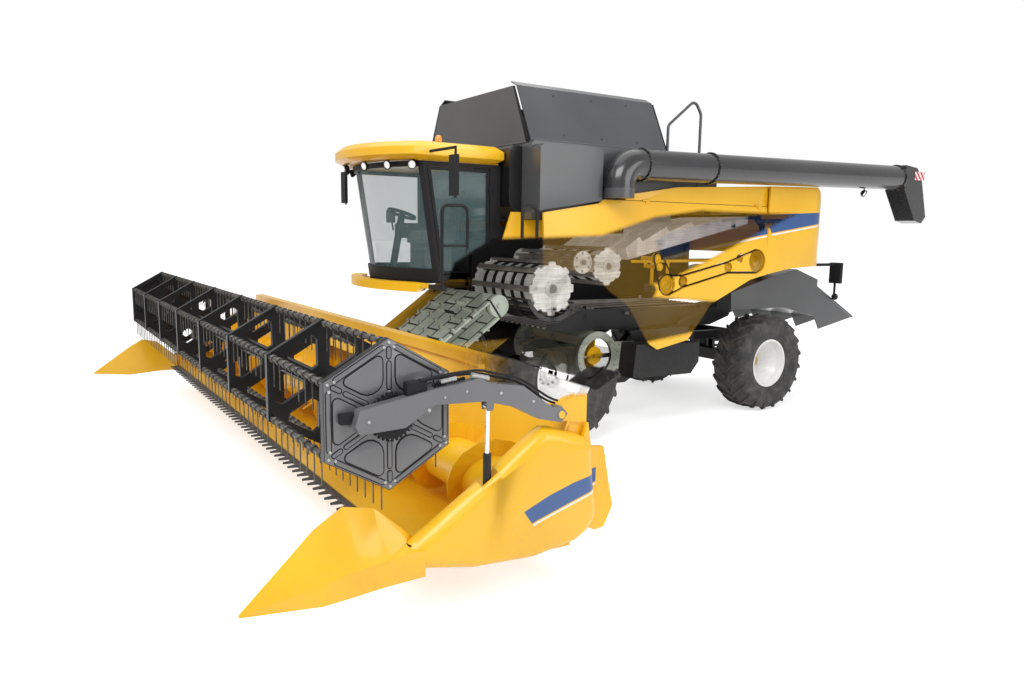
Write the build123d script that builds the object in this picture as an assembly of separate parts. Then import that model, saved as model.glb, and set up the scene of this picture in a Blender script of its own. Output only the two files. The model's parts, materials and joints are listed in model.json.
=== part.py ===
"""Combine harvester with its grain header, in millimetres.

Front is -Y, the machine's left is +X, up is +Z and the ground is z = 0.
Places along Y are measured from the front axle; export moves everything
by ROW_Y, so that the origin is the bottom centre of the whole machine.
"""
from build123d import *
from math import atan2, cos, degrees, pi, radians, sin, tan
import os

# ---- driving dimensions ----------------------------------------------------
RUN = 0.3                       # running gap between a moving piece and its seat
PIN_FIT = 0.05                  # bore over pin

WHEELBASE = 4030.0
FRONT_TYRE_R, FRONT_TYRE_W, FRONT_TRACK = 900.0, 650.0, 2630.0
REAR_TYRE_R, REAR_TYRE_W, REAR_TRACK = 745.0, 590.0, 2470.0
FRONT_RIM_R, REAR_RIM_R = 430.0, 372.0
KINGPIN_X = 840.0

HEADER_HALF = 4560.0            # inside of the outer covers
COVER_T = 140.0                 # outer cover's bulge
TIP_Y, TIP_Z = -4750.0, 370.0
KNIFE_Y, KNIFE_Z = -3590.0, 420.0
TROUGH_Y, TROUGH_Z, FLIGHT_R, AUGER_TUBE_R = -2750.0, 800.0, 330.0, 200.0
REEL_Y, REEL_Z, REEL_R, REEL_HALF, REEL_BAYS, TINE_L = -3690.0, 1460.0, 526.0, 4500.0, 7, 220.0
ARM_X, ARM_T, ARM_PIVOT_Y, ARM_PIVOT_Z = 4565.0, 80.0, -2360.0, 1340.0

FEEDER_HALF = 750.0
FEEDER_PIVOT_Y, FEEDER_PIVOT_Z = -120.0, 1930.0
HEADER_BACK_Y = -2050.0

WALL_X, WALL_T = 800.0, 30.0    # the threshing body's side walls
WORKS_HALF = 760.0
DRUM = (350.0, 1950.0, 375.0)   # y, z, radius
BEATER = (870.0, 2300.0, 155.0)
SEPARATOR = (1310.0, 2240.0, 275.0)
FAN = (1120.0, 980.0, 350.0)
FAN_MOUTH = 250.0
ENGINE_Z = 3110.0

TANK_HALF, TANK_FRONT, TANK_REAR, TANK_BASE, TANK_RIM = 1400.0, -450.0, 1860.0, 2860.0, 3760.0
COVER_L = 900.0
END_BASE, END_TOP, END_H = 1255.0, 950.0, 700.0
SHIELD_X, SHIELD_T = 1600.0, 30.0
HINGE_Z = 3120.0                # top hinge of the side shields
HOOD_FRONT, HOOD_END, HOOD_TOP = 3680.0, 5160.0, 3450.0

CAB_HALF, CAB_FLOOR, CAB_TOP, CAB_REAR, CAB_WALL = 1000.0, 2160.0, 3500.0, -640.0, 45.0
CAB_SIDE_FRONT, CAB_BOW = -1500.0, 320.0
DECK_Z = 2090.0                 # walking surface beside the cab

AUGER_X, AUGER_R = 1640.0, 195.0
RISER_Y, RISER_BASE, RISER_TOP = 720.0, 3140.0, 3260.0
BEND_R = 270.0
TUBE_Z0, TUBE_Z1, TUBE_END, SPOUT_END = 3560.0, 3690.0, 6750.0, 7450.0

ROW_Y = -(TIP_Y + SPOUT_END) / 2


# ---- small helpers ----------------------------------------------------------
def box(x0, x1, y0, y1, z0, z1):
    return Solid.make_box(x1 - x0, y1 - y0, z1 - z0, Plane((x0, y0, z0)))


def rod(p, q, r):
    """Round bar between two points."""
    axis = Vector(*q) - Vector(*p)
    return Solid.make_cylinder(r, axis.length, Plane(origin=p, z_dir=axis))


def bent_bar(points, r, bend):
    """Round bar along straight runs joined by equal bends."""
    path = FilletPolyline(*points, radius=bend)
    start = Vector(*points[0])
    return sweep(Plane(origin=start, z_dir=Vector(*points[1]) - start) * Circle(r), path=path)


def side_plate(outline, x0, x1):
    """Prism on a (y, z) outline between two x planes."""
    face = Face(Wire.make_polygon([Vector(x0, y, z) for y, z in outline], close=True))
    return Solid.extrude(face, Vector(x1 - x0, 0, 0))


def plan_plate(outline, z0, z1):
    """Prism on an (x, y) outline between two heights."""
    face = Face(Wire.make_polygon([Vector(x, y, z0) for x, y in outline], close=True))
    return Solid.extrude(face, Vector(0, 0, z1 - z0))


def bar(p, q, width, x0, x1):
    """Flat bar in a side plane from (y, z) p to q."""
    (ya, za), (yb, zb) = p, q
    a = atan2(zb - za, yb - ya)
    dy, dz = -sin(a) * width / 2, cos(a) * width / 2
    return side_plate([(ya - dy, za - dz), (yb - dy, zb - dz), (yb + dy, zb + dz), (ya + dy, za + dz)], x0, x1)


def spun(profile, y, z):
    """Solid of revolution about the X line through (y, z), from (x, radius) points."""
    face = Face(Wire.make_polygon([Vector(x, 0, r) for x, r in profile], close=True))
    return Pos(0, y, z) * Solid.revolve(face, 360, Axis.X)


def disc(x0, x1, r, y, z, bore=0.0):
    return spun([(x0, bore), (x1, bore), (x1, r), (x0, r)], y, z)


def other_side(shape):
    return mirror(shape, Plane.YZ)


def both(shape):
    return shape + other_side(shape)


def apart(shapes):
    """Several pieces kept as separate solids of one node."""
    return Compound(children=[s for shape in shapes for s in shape.solids()])


def lofted(sections):
    """Flat-sided solid through closed outlines with the same number of corners."""
    rings = [[Vector(*p) for p in points] for points in sections]
    faces = [Face(Wire.make_polygon(ring, close=True)) for ring in (rings[0], rings[-1][::-1])]
    for a, b in zip(rings, rings[1:]):
        for k in range(len(a)):
            m = (k + 1) % len(a)
            corners = [a[k], b[k], b[m], a[m]] if 2 * k < len(a) else [a[m], a[k], b[k], b[m]]
            faces += [Face(Wire.make_polygon([corners[0], corners[1], corners[2]], close=True)),
                      Face(Wire.make_polygon([corners[0], corners[2], corners[3]], close=True))]
    return Solid(Shell(faces))


def shrunk(outline, centre, factor):
    """Outline drawn in towards a centre."""
    return [(centre[0] + (a - centre[0]) * factor, centre[1] + (b - centre[1]) * factor) for a, b in outline]


# ---- wheels and axles ---------------------------------------------------------
def make_tyre(r, width, centre_x, rim_r, y):
    """Tyre on its rim: beads, bulged walls, shoulders and a flat tread."""
    h = width / 2
    side = rim_r + 0.45 * (r - rim_r)
    half = [(0.80 * h, rim_r), (h, side), (0.94 * h, r - 70), (0.80 * h, r - 16), (0.45 * h, r)]
    rows = half + [(-dx, rr) for dx, rr in reversed(half)]
    return spun([(centre_x + dx, rr) for dx, rr in rows], y, r)


RIM_WELL, RIM_LIP, RIM_PLATE, HUB_R, HUB_L = 52.0, 28.0, 16.0, 105.0, 70.0


def make_rim(tyre_r, tyre_w, centre_x, rim_r, hub_x, hub_r, y):
    """Dished steel rim: flanges, barrel, cone and hub flange, turned in one profile."""
    edge = 0.80 * tyre_w / 2
    seat = rim_r - RUN
    well = rim_r - RIM_WELL
    disc_in = hub_x + RIM_PLATE
    profile = [
        (centre_x - edge, seat), (centre_x + edge, seat), (centre_x + edge, rim_r - RIM_LIP),
        (centre_x + 0.55 * edge, well), (disc_in, hub_r), (disc_in, HUB_R), (disc_in + HUB_L, HUB_R - 10),
        (disc_in + HUB_L, 0), (hub_x, 0), (hub_x, hub_r + 30), (centre_x - 0.6 * edge, well),
        (centre_x - edge, rim_r - RIM_LIP)]
    return spun(profile, y, tyre_r)


FRONT_X = FRONT_TRACK / 2
REAR_X = REAR_TRACK / 2
FRONT_HUB_X = 1180.0
REAR_HUB_X = 1075.0

front_tyre = make_tyre(FRONT_TYRE_R, FRONT_TYRE_W, FRONT_X, FRONT_RIM_R, 0)
front_rim = make_rim(FRONT_TYRE_R, FRONT_TYRE_W, FRONT_X, FRONT_RIM_R, FRONT_HUB_X, 200, 0)
rear_tyre = make_tyre(REAR_TYRE_R, REAR_TYRE_W, REAR_X, REAR_RIM_R, WHEELBASE)
rear_rim = make_rim(REAR_TYRE_R, REAR_TYRE_W, REAR_X, REAR_RIM_R, REAR_HUB_X, 150, WHEELBASE)

# front axle: gearbox beam and a stepped final drive at each wheel
front_axle = box(-WALL_X, WALL_X, -140, 140, 760, 1000)
for side in (1, -1):
    drive = disc(WALL_X, 975, 250, 0, FRONT_TYRE_R) + disc(975, FRONT_HUB_X - RUN, 170, 0, FRONT_TYRE_R)
    front_axle += drive if side > 0 else other_side(drive)

# rear axle: tapered beam, forked ends and the centre pivot bracket
EAR_Z, EAR_T, KNUCKLE_R = 130.0, 36.0, 65.0
beam = side_plate([(WHEELBASE - 80, REAR_TYRE_R - 90), (WHEELBASE + 80, REAR_TYRE_R - 90),
                   (WHEELBASE + 80, REAR_TYRE_R + 90), (WHEELBASE - 80, REAR_TYRE_R + 90)], -740, 740)
rear_axle = beam
for side in (1, -1):
    fork = box(700, 740, WHEELBASE - 80, WHEELBASE + 80, REAR_TYRE_R - EAR_Z - EAR_T, REAR_TYRE_R + EAR_Z + EAR_T)
    for z0 in (REAR_TYRE_R - EAR_Z - EAR_T, REAR_TYRE_R + EAR_Z):
        fork += box(740, KINGPIN_X + 60, WHEELBASE - 70, WHEELBASE + 70, z0, z0 + EAR_T)
    rear_axle += fork if side > 0 else other_side(fork)

knuckle = rod((KINGPIN_X, WHEELBASE, REAR_TYRE_R - EAR_Z + RUN), (KINGPIN_X, WHEELBASE, REAR_TYRE_R + EAR_Z - RUN),
              KNUCKLE_R)
knuckle += disc(KINGPIN_X, REAR_HUB_X - RUN, 80, WHEELBASE, REAR_TYRE_R)
knuckle += disc(REAR_HUB_X - 30 - RUN, REAR_HUB_X - RUN, 130, WHEELBASE, REAR_TYRE_R)
knuckle += box(KINGPIN_X - 30, KINGPIN_X + 30, WHEELBASE + 40, WHEELBASE + 230, REAR_TYRE_R - 25, REAR_TYRE_R + 25)

LIFT_X, LIFT_PIN_R, LIFT_EYE_W = 550.0, 24.0, 70.0
LIFT_LOW, LIFT_EYE = (-330.0, 640.0), (-1600.0, 400.0)
for side in (1, -1):
    lug = disc(LIFT_X - 76, LIFT_X + 76, LIFT_PIN_R, LIFT_LOW[0], LIFT_LOW[1])
    for x0 in (LIFT_X - 76, LIFT_X + 56):
        lug += side_plate([(-130, 770), (-130, 900), (-200, 900), (-380, 660), (-350, 600), (-300, 600)], x0, x0 + 20)
    front_axle += lug if side > 0 else other_side(lug)

# ---- main frame -----------------------------------------------------------------
WALL_OUTLINE = [(-260, 1250), (-260, 2100), (60, 2700), (900, TANK_BASE), (1880, TANK_BASE), (4300, 3080), (4520, 2900),
                (4520, 2100), (4100, 1640), (2960, 1560), (2740, 1330), (2740, 1090), (1650, 560), (620, 560), (320, 1120)]
WALL_WINDOWS = [
    [(-160, 1420), (-160, 2070), (120, 2610), (920, 2765), (1650, 2765), (1650, 1350), (430, 1250)],
    [(1790, 1350), (1790, 2770), (4250, 2970), (4420, 2850), (4420, 2140), (4060, 1740), (2880, 1660), (2640, 1350)],
]
BEARING_LINE = [(-210, FEEDER_PIVOT_Z), DRUM[:2], BEATER[:2], SEPARATOR[:2], (1700, SEPARATOR[1])]
WALL_OUT = WALL_X + WALL_T
RAIL_OUT, RAIL_Z0, RAIL_Z1 = 945.0, 1180.0, 1330.0
CARRIER_X, CARRIER_Z0, CARRIER_TOP = 925.0, 1950.0, 2075.0
ENGINE_BEAMS, ENGINE_BEAM_W, ENGINE_BEAM_H = (2300.0, 3150.0), 90.0, 60.0
CRANKS, CRANK_R = [(2300.0, 2560.0), (3800.0, 2860.0)], 22.0

wall = side_plate(WALL_OUTLINE, WALL_X, WALL_OUT)
wall -= [side_plate(window, WALL_X - 1, WALL_OUT + 1) for window in WALL_WINDOWS]
wall += [bar(a, b, 90, WALL_X, WALL_OUT) for a, b in zip(BEARING_LINE, BEARING_LINE[1:])]
wall += [disc(WALL_X, WALL_OUT, r, y, z) for y, z, r in (
    DRUM[:2] + (110,), BEATER[:2] + (80,), SEPARATOR[:2] + (90,), (FEEDER_PIVOT_Y, FEEDER_PIVOT_Z, 90))]
wall += bar(DRUM[:2], (DRUM[0], 1150), 70, WALL_X, WALL_OUT)
wall -= disc(WALL_X - 1, WALL_OUT + 1, FAN_MOUTH, FAN[0], FAN[1])
wall += box(WALL_X, WALL_X + 15, FAN[0] - 280, FAN[0] + 280, FAN[1] - 30, FAN[1] + 30)
wall += [box(WALL_X, WALL_OUT, y0, y0 + ENGINE_BEAM_W, 2850, ENGINE_Z - ENGINE_BEAM_H) for y0 in ENGINE_BEAMS]
wall += [bar((y, z - 40), (y, 2990), 60, WALL_X, WALL_OUT) for y, z in CRANKS]
wall += box(WALL_X, CARRIER_X, -1560, 0, CARRIER_Z0, CARRIER_TOP)            # carries the cab
side_wall_left = wall
side_wall_right = other_side(wall)

rails = [box(WALL_OUT, RAIL_OUT, -260, 2780, RAIL_Z0, RAIL_Z1), box(WALL_OUT, RAIL_OUT, -60, 60, 1150, RAIL_Z0)]
rails += [other_side(rail) for rail in rails]
chassis = rails + [
    box(-RAIL_OUT, RAIL_OUT, 2780, 2900, 1130, 1250),                          # step to the rear rails
    box(-480, 480, 3930, 4130, 1000, 1040), box(-480, 480, 4240, 4300, 1000, 1160)]
chassis += [box(x0, x0 + 120, 2900, 4240, 1040, 1160) for x0 in (-480, 360)]
chassis += [box(-90, 90, y0, y0 + 50, REAR_TYRE_R + 90, 1000) for y0 in (3900, 4110)]

# drop plate and clevis of the tow hitch, behind the rear axle
HITCH_Y, HITCH_R, HITCH_Z, HITCH_GAP, HITCH_T = 4440.0, 16.0, 860.0, 60.0, 30.0
chassis.append(box(-110, 110, 4240, 4300, HITCH_Z - 70, 1000))
for z0 in (HITCH_Z - HITCH_GAP / 2 - HITCH_T, HITCH_Z + HITCH_GAP / 2):
    ear = box(-60, 60, 4300, HITCH_Y, z0, z0 + HITCH_T) + rod((0, HITCH_Y, z0), (0, HITCH_Y, z0 + HITCH_T), 60)
    chassis.append(ear - rod((0, HITCH_Y, z0 - 1), (0, HITCH_Y, z0 + HITCH_T + 1), HITCH_R))
cross_tubes = [box(-WALL_X, WALL_X, 1450, 1550, 2700, 2780), box(-WALL_X, WALL_X, 4350, 4450, 2960, 3040)]
engine_beams = [box(-WALL_OUT, WALL_OUT, y0, y0 + ENGINE_BEAM_W, ENGINE_Z - ENGINE_BEAM_H, ENGINE_Z)
                for y0 in ENGINE_BEAMS]
main_frame = apart(chassis + cross_tubes + engine_beams)

# ---- threshing and cleaning works ---------------------------------------------------
def rotor(spec, bars, bar_w, bar_h, shaft_r, spiders=2, end_t=16.0):
    """Shaft, carrier discs and lengthwise bars round the rim."""
    y, z, r = spec
    step = (2 * WORKS_HALF - end_t) / (spiders - 1)
    edges = [-WORKS_HALF + k * step for k in range(spiders)]
    blade = side_plate([(y - bar_w / 2, z + r - bar_h), (y + bar_w / 2, z + r - bar_h),
                        (y + bar_w / 2, z + r - 8), (y - bar_w / 4, z + r), (y - bar_w / 2, z + r - 12)],
                       -WORKS_HALF, WORKS_HALF)
    body = disc(-WALL_X + RUN, WALL_X - RUN, shaft_r, y, z)
    body += [disc(x0, x0 + end_t, r - bar_h * 0.6, y, z) for x0 in edges]
    body += [blade.rotate(Axis((0, y, z), (1, 0, 0)), 360.0 * k / bars) for k in range(bars)]
    return body


threshing_drum = rotor(DRUM, 8, 80, 40, 60, spiders=5)
beater = rotor(BEATER, 4, 40, 95, 35)
rotary_separator = rotor(SEPARATOR, 6, 40, 60, 45, spiders=3)
cleaning_fan = rotor(FAN[:2] + (FAN_MOUTH - 25,), 4, 24, 160, 30)

FINGER_L, FINGERS = 46.0, 9
fingers = []
for k in range(6):
    for j in range(FINGERS):
        x = -WORKS_HALF + 70 + (j + 0.5 * (k % 2)) * (2 * WORKS_HALF - 140) / FINGERS
        y, z, r = SEPARATOR
        finger = box(x - 8, x + 8, y - 24, y - 14, z + r - 62, z + r - 60 + FINGER_L + 14)
        fingers.append(finger.rotate(Axis((0, y, z), (1, 0, 0)), 60.0 * k))
rotary_separator += fingers

# the concave is an open grate: three ribs and a row of cross bars
CONCAVE_GAP, RIB_H, CONCAVE_BARS = 14.0, 60.0, 13
inner = DRUM[2] + CONCAVE_GAP


def concave_arc(radius, steps=8):
    return [(DRUM[0] + radius * cos(radians(200 + 130 * k / steps)),
             DRUM[1] + radius * sin(radians(200 + 130 * k / steps))) for k in range(steps + 1)]


rib = concave_arc(inner + RIB_H) + concave_arc(inner)[::-1]
concave = side_plate(rib, WALL_X - 16, WALL_X)
concave += [side_plate(rib, x0, x0 + 16) for x0 in (-WALL_X, -8, -408, 392)]
for y, z in concave_arc(inner + 22, CONCAVE_BARS - 1):
    a = degrees(atan2(z - DRUM[1], y - DRUM[0]))
    concave += box(-WALL_X, WALL_X, y - 20, y + 20, z - 7, z + 7).rotate(Axis((0, y, z), (1, 0, 0)), a)

WALKER_TOP = [(1640, 2500), (1900, 2660), (1960, 2590), (2420, 2810), (2480, 2740), (2940, 2900), (3000, 2830),
              (3560, 2960), (3620, 2890), (4200, 3000)]
WALKER_BASE = [(4200, 2890), (1700, 2330)]
WALKERS, WALKER_GAP = 5, 14.0
pitch = 2 * WORKS_HALF / WALKERS
walkers = []
for k in range(WALKERS):
    x0 = -WORKS_HALF + k * pitch + WALKER_GAP / 2
    walker = side_plate(WALKER_TOP + WALKER_BASE, x0, x0 + pitch - WALKER_GAP)
    walker -= [disc(x0 - 1, x0 + pitch, CRANK_R + RUN, y, z) for y, z in CRANKS]
    walkers.append(walker)
crankshafts = [disc(-WALL_X + RUN, WALL_X - RUN, CRANK_R, y, z) for y, z in CRANKS]
straw_walkers = apart(walkers + crankshafts)

SIEVE_HALF, SIEVE_T, SLATS = 720.0, 12.0, 15
SIEVE_PINS = [(1720.0, 1560.0), (3300.0, 1636.0)]
SHOE_SIDE = [(300, 1370), (320, 1460), (560, 1480), (900, 1640), (4000, 1600), (3900, 1420), (3480, 1300), (1700, 1320)]
shoe = side_plate(SHOE_SIDE, SIEVE_HALF - SIEVE_T, SIEVE_HALF)
shoe += bar((3300, 1500), (3300, 1656), 50, SIEVE_HALF - SIEVE_T, SIEVE_HALF)
shoe += [disc(SIEVE_HALF - SIEVE_T, WALL_X, 20, y, z) for y, z in SIEVE_PINS]
sieves = both(shoe)
sieves += side_plate([(320, 1390), (1800, 1470), (1800, 1490), (320, 1410)], -SIEVE_HALF, SIEVE_HALF)
sieves += side_plate([(1700, 1320), (3480, 1300), (3480, 1320), (1700, 1340)], -SIEVE_HALF, SIEVE_HALF)
sieves += [box(-SIEVE_HALF, SIEVE_HALF, y0, y0 + 24, 1500, 1530) for y0 in (1850, 2900, 3860)]
for k in range(SLATS):
    x = -SIEVE_HALF + 40 + k * (2 * SIEVE_HALF - 80) / (SLATS - 1)
    sieves += side_plate([(1800, 1520), (3930, 1530), (3930, 1566), (1800, 1556)], x - 14, x + 14)

FAN_T = 14.0
fan_housing = disc(-WALL_X, WALL_X, FAN[2], FAN[0], FAN[1], FAN[2] - FAN_T)
fan_housing -= box(-WALL_X + FAN_T, WALL_X - FAN_T, FAN[0] + 60, FAN[0] + 500, FAN[1] + 80, FAN[1] + 500)
fan_housing += [disc(x0, x0 + FAN_T, FAN[2] - 2, FAN[0], FAN[1], FAN_MOUTH) for x0 in (-WALL_X, WALL_X - FAN_T)]

PULLEYS = [  # y, z, radius
    (1900, 2360, 70), (1960, 2240, 55), (2090, 1980, 140), (2400, 2030, 75),
    (3340, 2220, 70), (3590, 2360, 60), (3990, 2310, 170)]
BELTS = [(2, 3, 0), (3, 4, 1), (4, 6, 0), (0, 2, 1)]     # first pulley, last pulley, groove
PULLEY_X, PULLEY_W, BELT_T = 1080.0, 50.0, 12.0
belt_drive = box(WALL_OUT, WALL_OUT + 10, 1680, 4500, 2290, 2330)
belt_drive += [disc(PULLEY_X, PULLEY_X + PULLEY_W, r, y, z) for y, z, r in PULLEYS]
belt_drive += [disc(WALL_OUT, PULLEY_X, 28, y, z) for y, z, r in PULLEYS]
belt_drive += [box(WALL_OUT, WALL_OUT + 10, y - 30, y + 30, min(z, 2300), max(z, 2320)) for y, z, r in PULLEYS]

engine = box(-520, 520, 2150, 3400, ENGINE_Z, 3760)

# ---- grain tank and its covers ---------------------------------------------------------
TANK_T, POD_X = 25.0, SHIELD_X - 20
grain_tank = box(-TANK_HALF, TANK_HALF, TANK_FRONT, TANK_REAR, TANK_BASE, TANK_RIM)
grain_tank -= box(-TANK_HALF + TANK_T, TANK_HALF - TANK_T, TANK_FRONT + TANK_T, TANK_REAR - TANK_T,
                  TANK_BASE + TANK_T, TANK_RIM + 1)
POD = [(TANK_FRONT, 2960), (500, 3100), (500, TANK_RIM - 60), (420, TANK_RIM - 20), (TANK_FRONT + 60, TANK_RIM - 20),
       (TANK_FRONT, TANK_RIM - 60)]
grain_tank += both(side_plate(POD, TANK_HALF - 5, POD_X))
AIR_BOX = [(TANK_FRONT + 5, 2900), (TANK_FRONT + 5, 3720), (TANK_FRONT - 40, 3735), (-590, 3735), (-626, 3700),
           (-626, 3060), (-600, 3000)]
grain_tank += side_plate(AIR_BOX, -1180, 1180)                                  # air box behind the cab
grain_tank += rod((AUGER_X, RISER_Y, RISER_BASE), (AUGER_X, RISER_Y, RISER_TOP), AUGER_R)
grain_tank += box(TANK_HALF - 5, AUGER_X, RISER_Y - 150, RISER_Y + 150, RISER_BASE, RISER_TOP - 20)

SHEET_T = 14.0
LEAN = 26.0                    # the open covers lean inwards from upright
COVER_HINGE_X, COVER_HINGE_Z, COVER_HINGE_R = 1330.0, TANK_RIM + 40, 14.0
COVER_FRONT, COVER_REAR = TANK_FRONT + 30, TANK_REAR - 60
TIP_BEND, TIP_SHARE = 38.0, 0.16


def cover_side():
    """Left side cover: a sheet leaning inwards on a hinge bead, and its bent top strip."""
    a, b = radians(90 + LEAN), radians(90 + LEAN + TIP_BEND)
    main_l, tip_l = (1 - TIP_SHARE) * COVER_L, TIP_SHARE * COVER_L
    elbow = (main_l * cos(a), main_l * sin(a))
    tip = (elbow[0] + tip_l * cos(b), elbow[1] + tip_l * sin(b))
    inner = lambda at, t: (at[0] - SHEET_T * sin(t), at[1] + SHEET_T * cos(t))
    parts = []
    for line in ([(0, 0), elbow, inner(elbow, a), inner((0, 0), a)], [elbow, tip, inner(tip, b), inner(elbow, a)]):
        points = [Vector(COVER_HINGE_X + x, COVER_FRONT, COVER_HINGE_Z + z) for x, z in line]
        parts.append(Solid.extrude(Face(Wire.make_polygon(points, close=True)), Vector(0, COVER_REAR - COVER_FRONT, 0)))
    hinge = rod((COVER_HINGE_X, COVER_FRONT, COVER_HINGE_Z), (COVER_HINGE_X, COVER_REAR, COVER_HINGE_Z), COVER_HINGE_R)
    return apart([parts[0] + hinge, parts[1]])


def cover_end(y0):
    """Front or rear cover: a sheet with sloping sides, standing on its hinge bead."""
    z0 = TANK_RIM + COVER_HINGE_R + RUN
    outline = [(-END_BASE, z0), (END_BASE, z0), (END_TOP, z0 + END_H), (-END_TOP, z0 + END_H)]
    points = [Vector(x, y0, z) for x, z in outline]
    sheet = Solid.extrude(Face(Wire.make_polygon(points, close=True)), Vector(0, SHEET_T, 0))
    return sheet + rod((-END_BASE, y0 + SHEET_T / 2, z0), (END_BASE, y0 + SHEET_T / 2, z0), COVER_HINGE_R)


tank_cover_left = cover_side()
tank_cover_right = other_side(tank_cover_left)
tank_cover_front = cover_end(TANK_FRONT + 5)
tank_cover_rear = cover_end(TANK_REAR - 5 - SHEET_T)
rim_pad = box(COVER_HINGE_X - 40, TANK_HALF, COVER_FRONT, COVER_REAR, TANK_RIM - 5, COVER_HINGE_Z - COVER_HINGE_R - RUN)
grain_tank += both(rim_pad)

# ---- body panels ---------------------------------------------------------------------
SHIELD_OUTLINE = [(-380, HINGE_Z - 185), (-380, 2300), (410, 2190), (660, 1970), (1000, 1760), (1330, 1340),
                  (1430, 1220), (1580, 1140), (2140, 1240), (2530, 1730), (3320, 2060), (HOOD_FRONT - 8, 2130),
                  (HOOD_FRONT - 8, HINGE_Z), (560, HINGE_Z), (480, HINGE_Z - 50)]


def shield_skin(z0, z1, y0, y1):
    """Vertical panel that bulges outwards at mid height."""
    out = ThreePointArc((1540, y0, 1100), (SHIELD_X, y0, 2250), (1500, y0, 3400))
    inn = ThreePointArc((1540 - SHIELD_T, y0, 1100), (SHIELD_X - SHIELD_T, y0, 2250), (1500 - SHIELD_T, y0, 3400))
    ends = [Line(out @ 1, inn @ 1), Line(out @ 0, inn @ 0)]
    slab = Solid.extrude(Face(Wire([out, inn] + ends)), Vector(0, y1 - y0, 0))
    return slab & box(1300, 1700, y0, y1, z0, z1)


side_shield_left = shield_skin(1100, 3390, -400, 3700) & side_plate(SHIELD_OUTLINE, 1300, 1700)

HOOD_OUTLINE = [(HOOD_FRONT, 2130), (4230, 2210), (5020, 2250), (HOOD_END, 2810), (4900, 3380), (4780, HOOD_TOP),
                (HOOD_FRONT, 3420)]
HOOD_HALF, HOOD_T, HOOD_R = SHIELD_X - 15, 30.0, 420.0


def hood_plan(inset):
    """Rounded-tail block seen from above, drawn in from the hood's outside."""
    half, end, r = HOOD_HALF - inset, HOOD_END - inset, HOOD_R - inset
    k = r * (1 - cos(radians(45)))
    left = Line((half, HOOD_FRONT - inset, 2000), (half, end - r, 2000))
    corner = ThreePointArc((half, end - r, 2000), (half - k, end - k, 2000), (half - r, end, 2000))
    tail = Line((half - r, end, 2000), (-half + r, end, 2000))
    mate = ThreePointArc((-half + r, end, 2000), (-half + k, end - k, 2000), (-half, end - r, 2000))
    right = Line((-half, end - r, 2000), (-half, HOOD_FRONT - inset, 2000))
    front = Line((-half, HOOD_FRONT - inset, 2000), (half, HOOD_FRONT - inset, 2000))
    return Solid.extrude(Face(Wire([left, corner, tail, mate, right, front])), Vector(0, 0, 1600))


hood_inside = side_plate([(HOOD_FRONT - 40, 2000), (5000, 2000), (HOOD_END - 40, 2810), (4870, 3350),
                          (4760, HOOD_TOP - HOOD_T), (HOOD_FRONT - 40, 3390)], -HOOD_HALF, HOOD_HALF)
rear_hood = hood_plan(0) & side_plate(HOOD_OUTLINE, -HOOD_HALF, HOOD_HALF)
rear_hood -= hood_plan(HOOD_T) & hood_inside
SHOULDER_FRONT = 930.0
shoulder = side_plate([(SHOULDER_FRONT, HINGE_Z + 8), (HOOD_FRONT + 10, HINGE_Z + 8), (HOOD_FRONT + 10, 3420),
                       (TANK_REAR + 20, 3330), (SHOULDER_FRONT, 3190)], TANK_HALF + 2, 1530)
shoulder -= side_plate([(TANK_REAR, HINGE_Z), (HOOD_FRONT, HINGE_Z), (HOOD_FRONT, 3390), (TANK_REAR, 3300)], 1300, 1500)
SHIELD_HINGE_X, SHIELD_HINGE_Z, HINGE_R = 1556.0, HINGE_Z + 10, 12.0
SHIELD_HINGES, KNUCKLE_L = (1200.0, 3400.0), 60.0
for y0 in SHIELD_HINGES:
    y1 = y0 + KNUCKLE_L
    shoulder += rod((SHIELD_HINGE_X, y0, SHIELD_HINGE_Z), (SHIELD_HINGE_X, y1, SHIELD_HINGE_Z), HINGE_R)
    shoulder += box(1520, SHIELD_HINGE_X, y0, y1, SHIELD_HINGE_Z, SHIELD_HINGE_Z + HINGE_R)
    side_shield_left += rod((SHIELD_HINGE_X, y1 + RUN, SHIELD_HINGE_Z),
                            (SHIELD_HINGE_X, y1 + KNUCKLE_L, SHIELD_HINGE_Z), HINGE_R)
    side_shield_left += box(SHIELD_HINGE_X - 25.7, SHIELD_HINGE_X, y1 + RUN, y1 + KNUCKLE_L, HINGE_Z - 30,
                            SHIELD_HINGE_Z)
rear_hood += both(shoulder)
rear_hood += both(box(WALL_OUT, SHIELD_X - 40, 4300, 4380, 2900, 2960))        # arms to the side walls
side_shield_right = other_side(side_shield_left)

DECK_TOP, DECK_T = 3340.0, 40.0
engine_deck = box(-1360, 1360, TANK_REAR + 20, HOOD_FRONT + 200, DECK_TOP - DECK_T, DECK_TOP)
engine_deck -= box(-540, 540, 2130, 3420, 3200, 3400)
engine_deck += box(-700, 700, 2050, 3500, 3770, 3800)
engine_deck += [box(x0, x0 + 30, 2050, 3500, DECK_TOP, 3770) for x0 in (-700, 670)]
engine_deck += [box(x0, x0 + 20, 1900, 3700, ENGINE_Z, DECK_TOP - DECK_T) for x0 in (-WALL_X, WALL_X - 20)]
RAIL_R, RAIL_X, RAIL_BEND = 20.0, 1200.0, 90.0
engine_deck += bent_bar([(RAIL_X, 1940, DECK_TOP - 10), (RAIL_X, 1940, 4180), (RAIL_X, 2430, 4560),
                         (RAIL_X, 2560, 4380), (RAIL_X, 2560, DECK_TOP - 10)], RAIL_R, RAIL_BEND)

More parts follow.
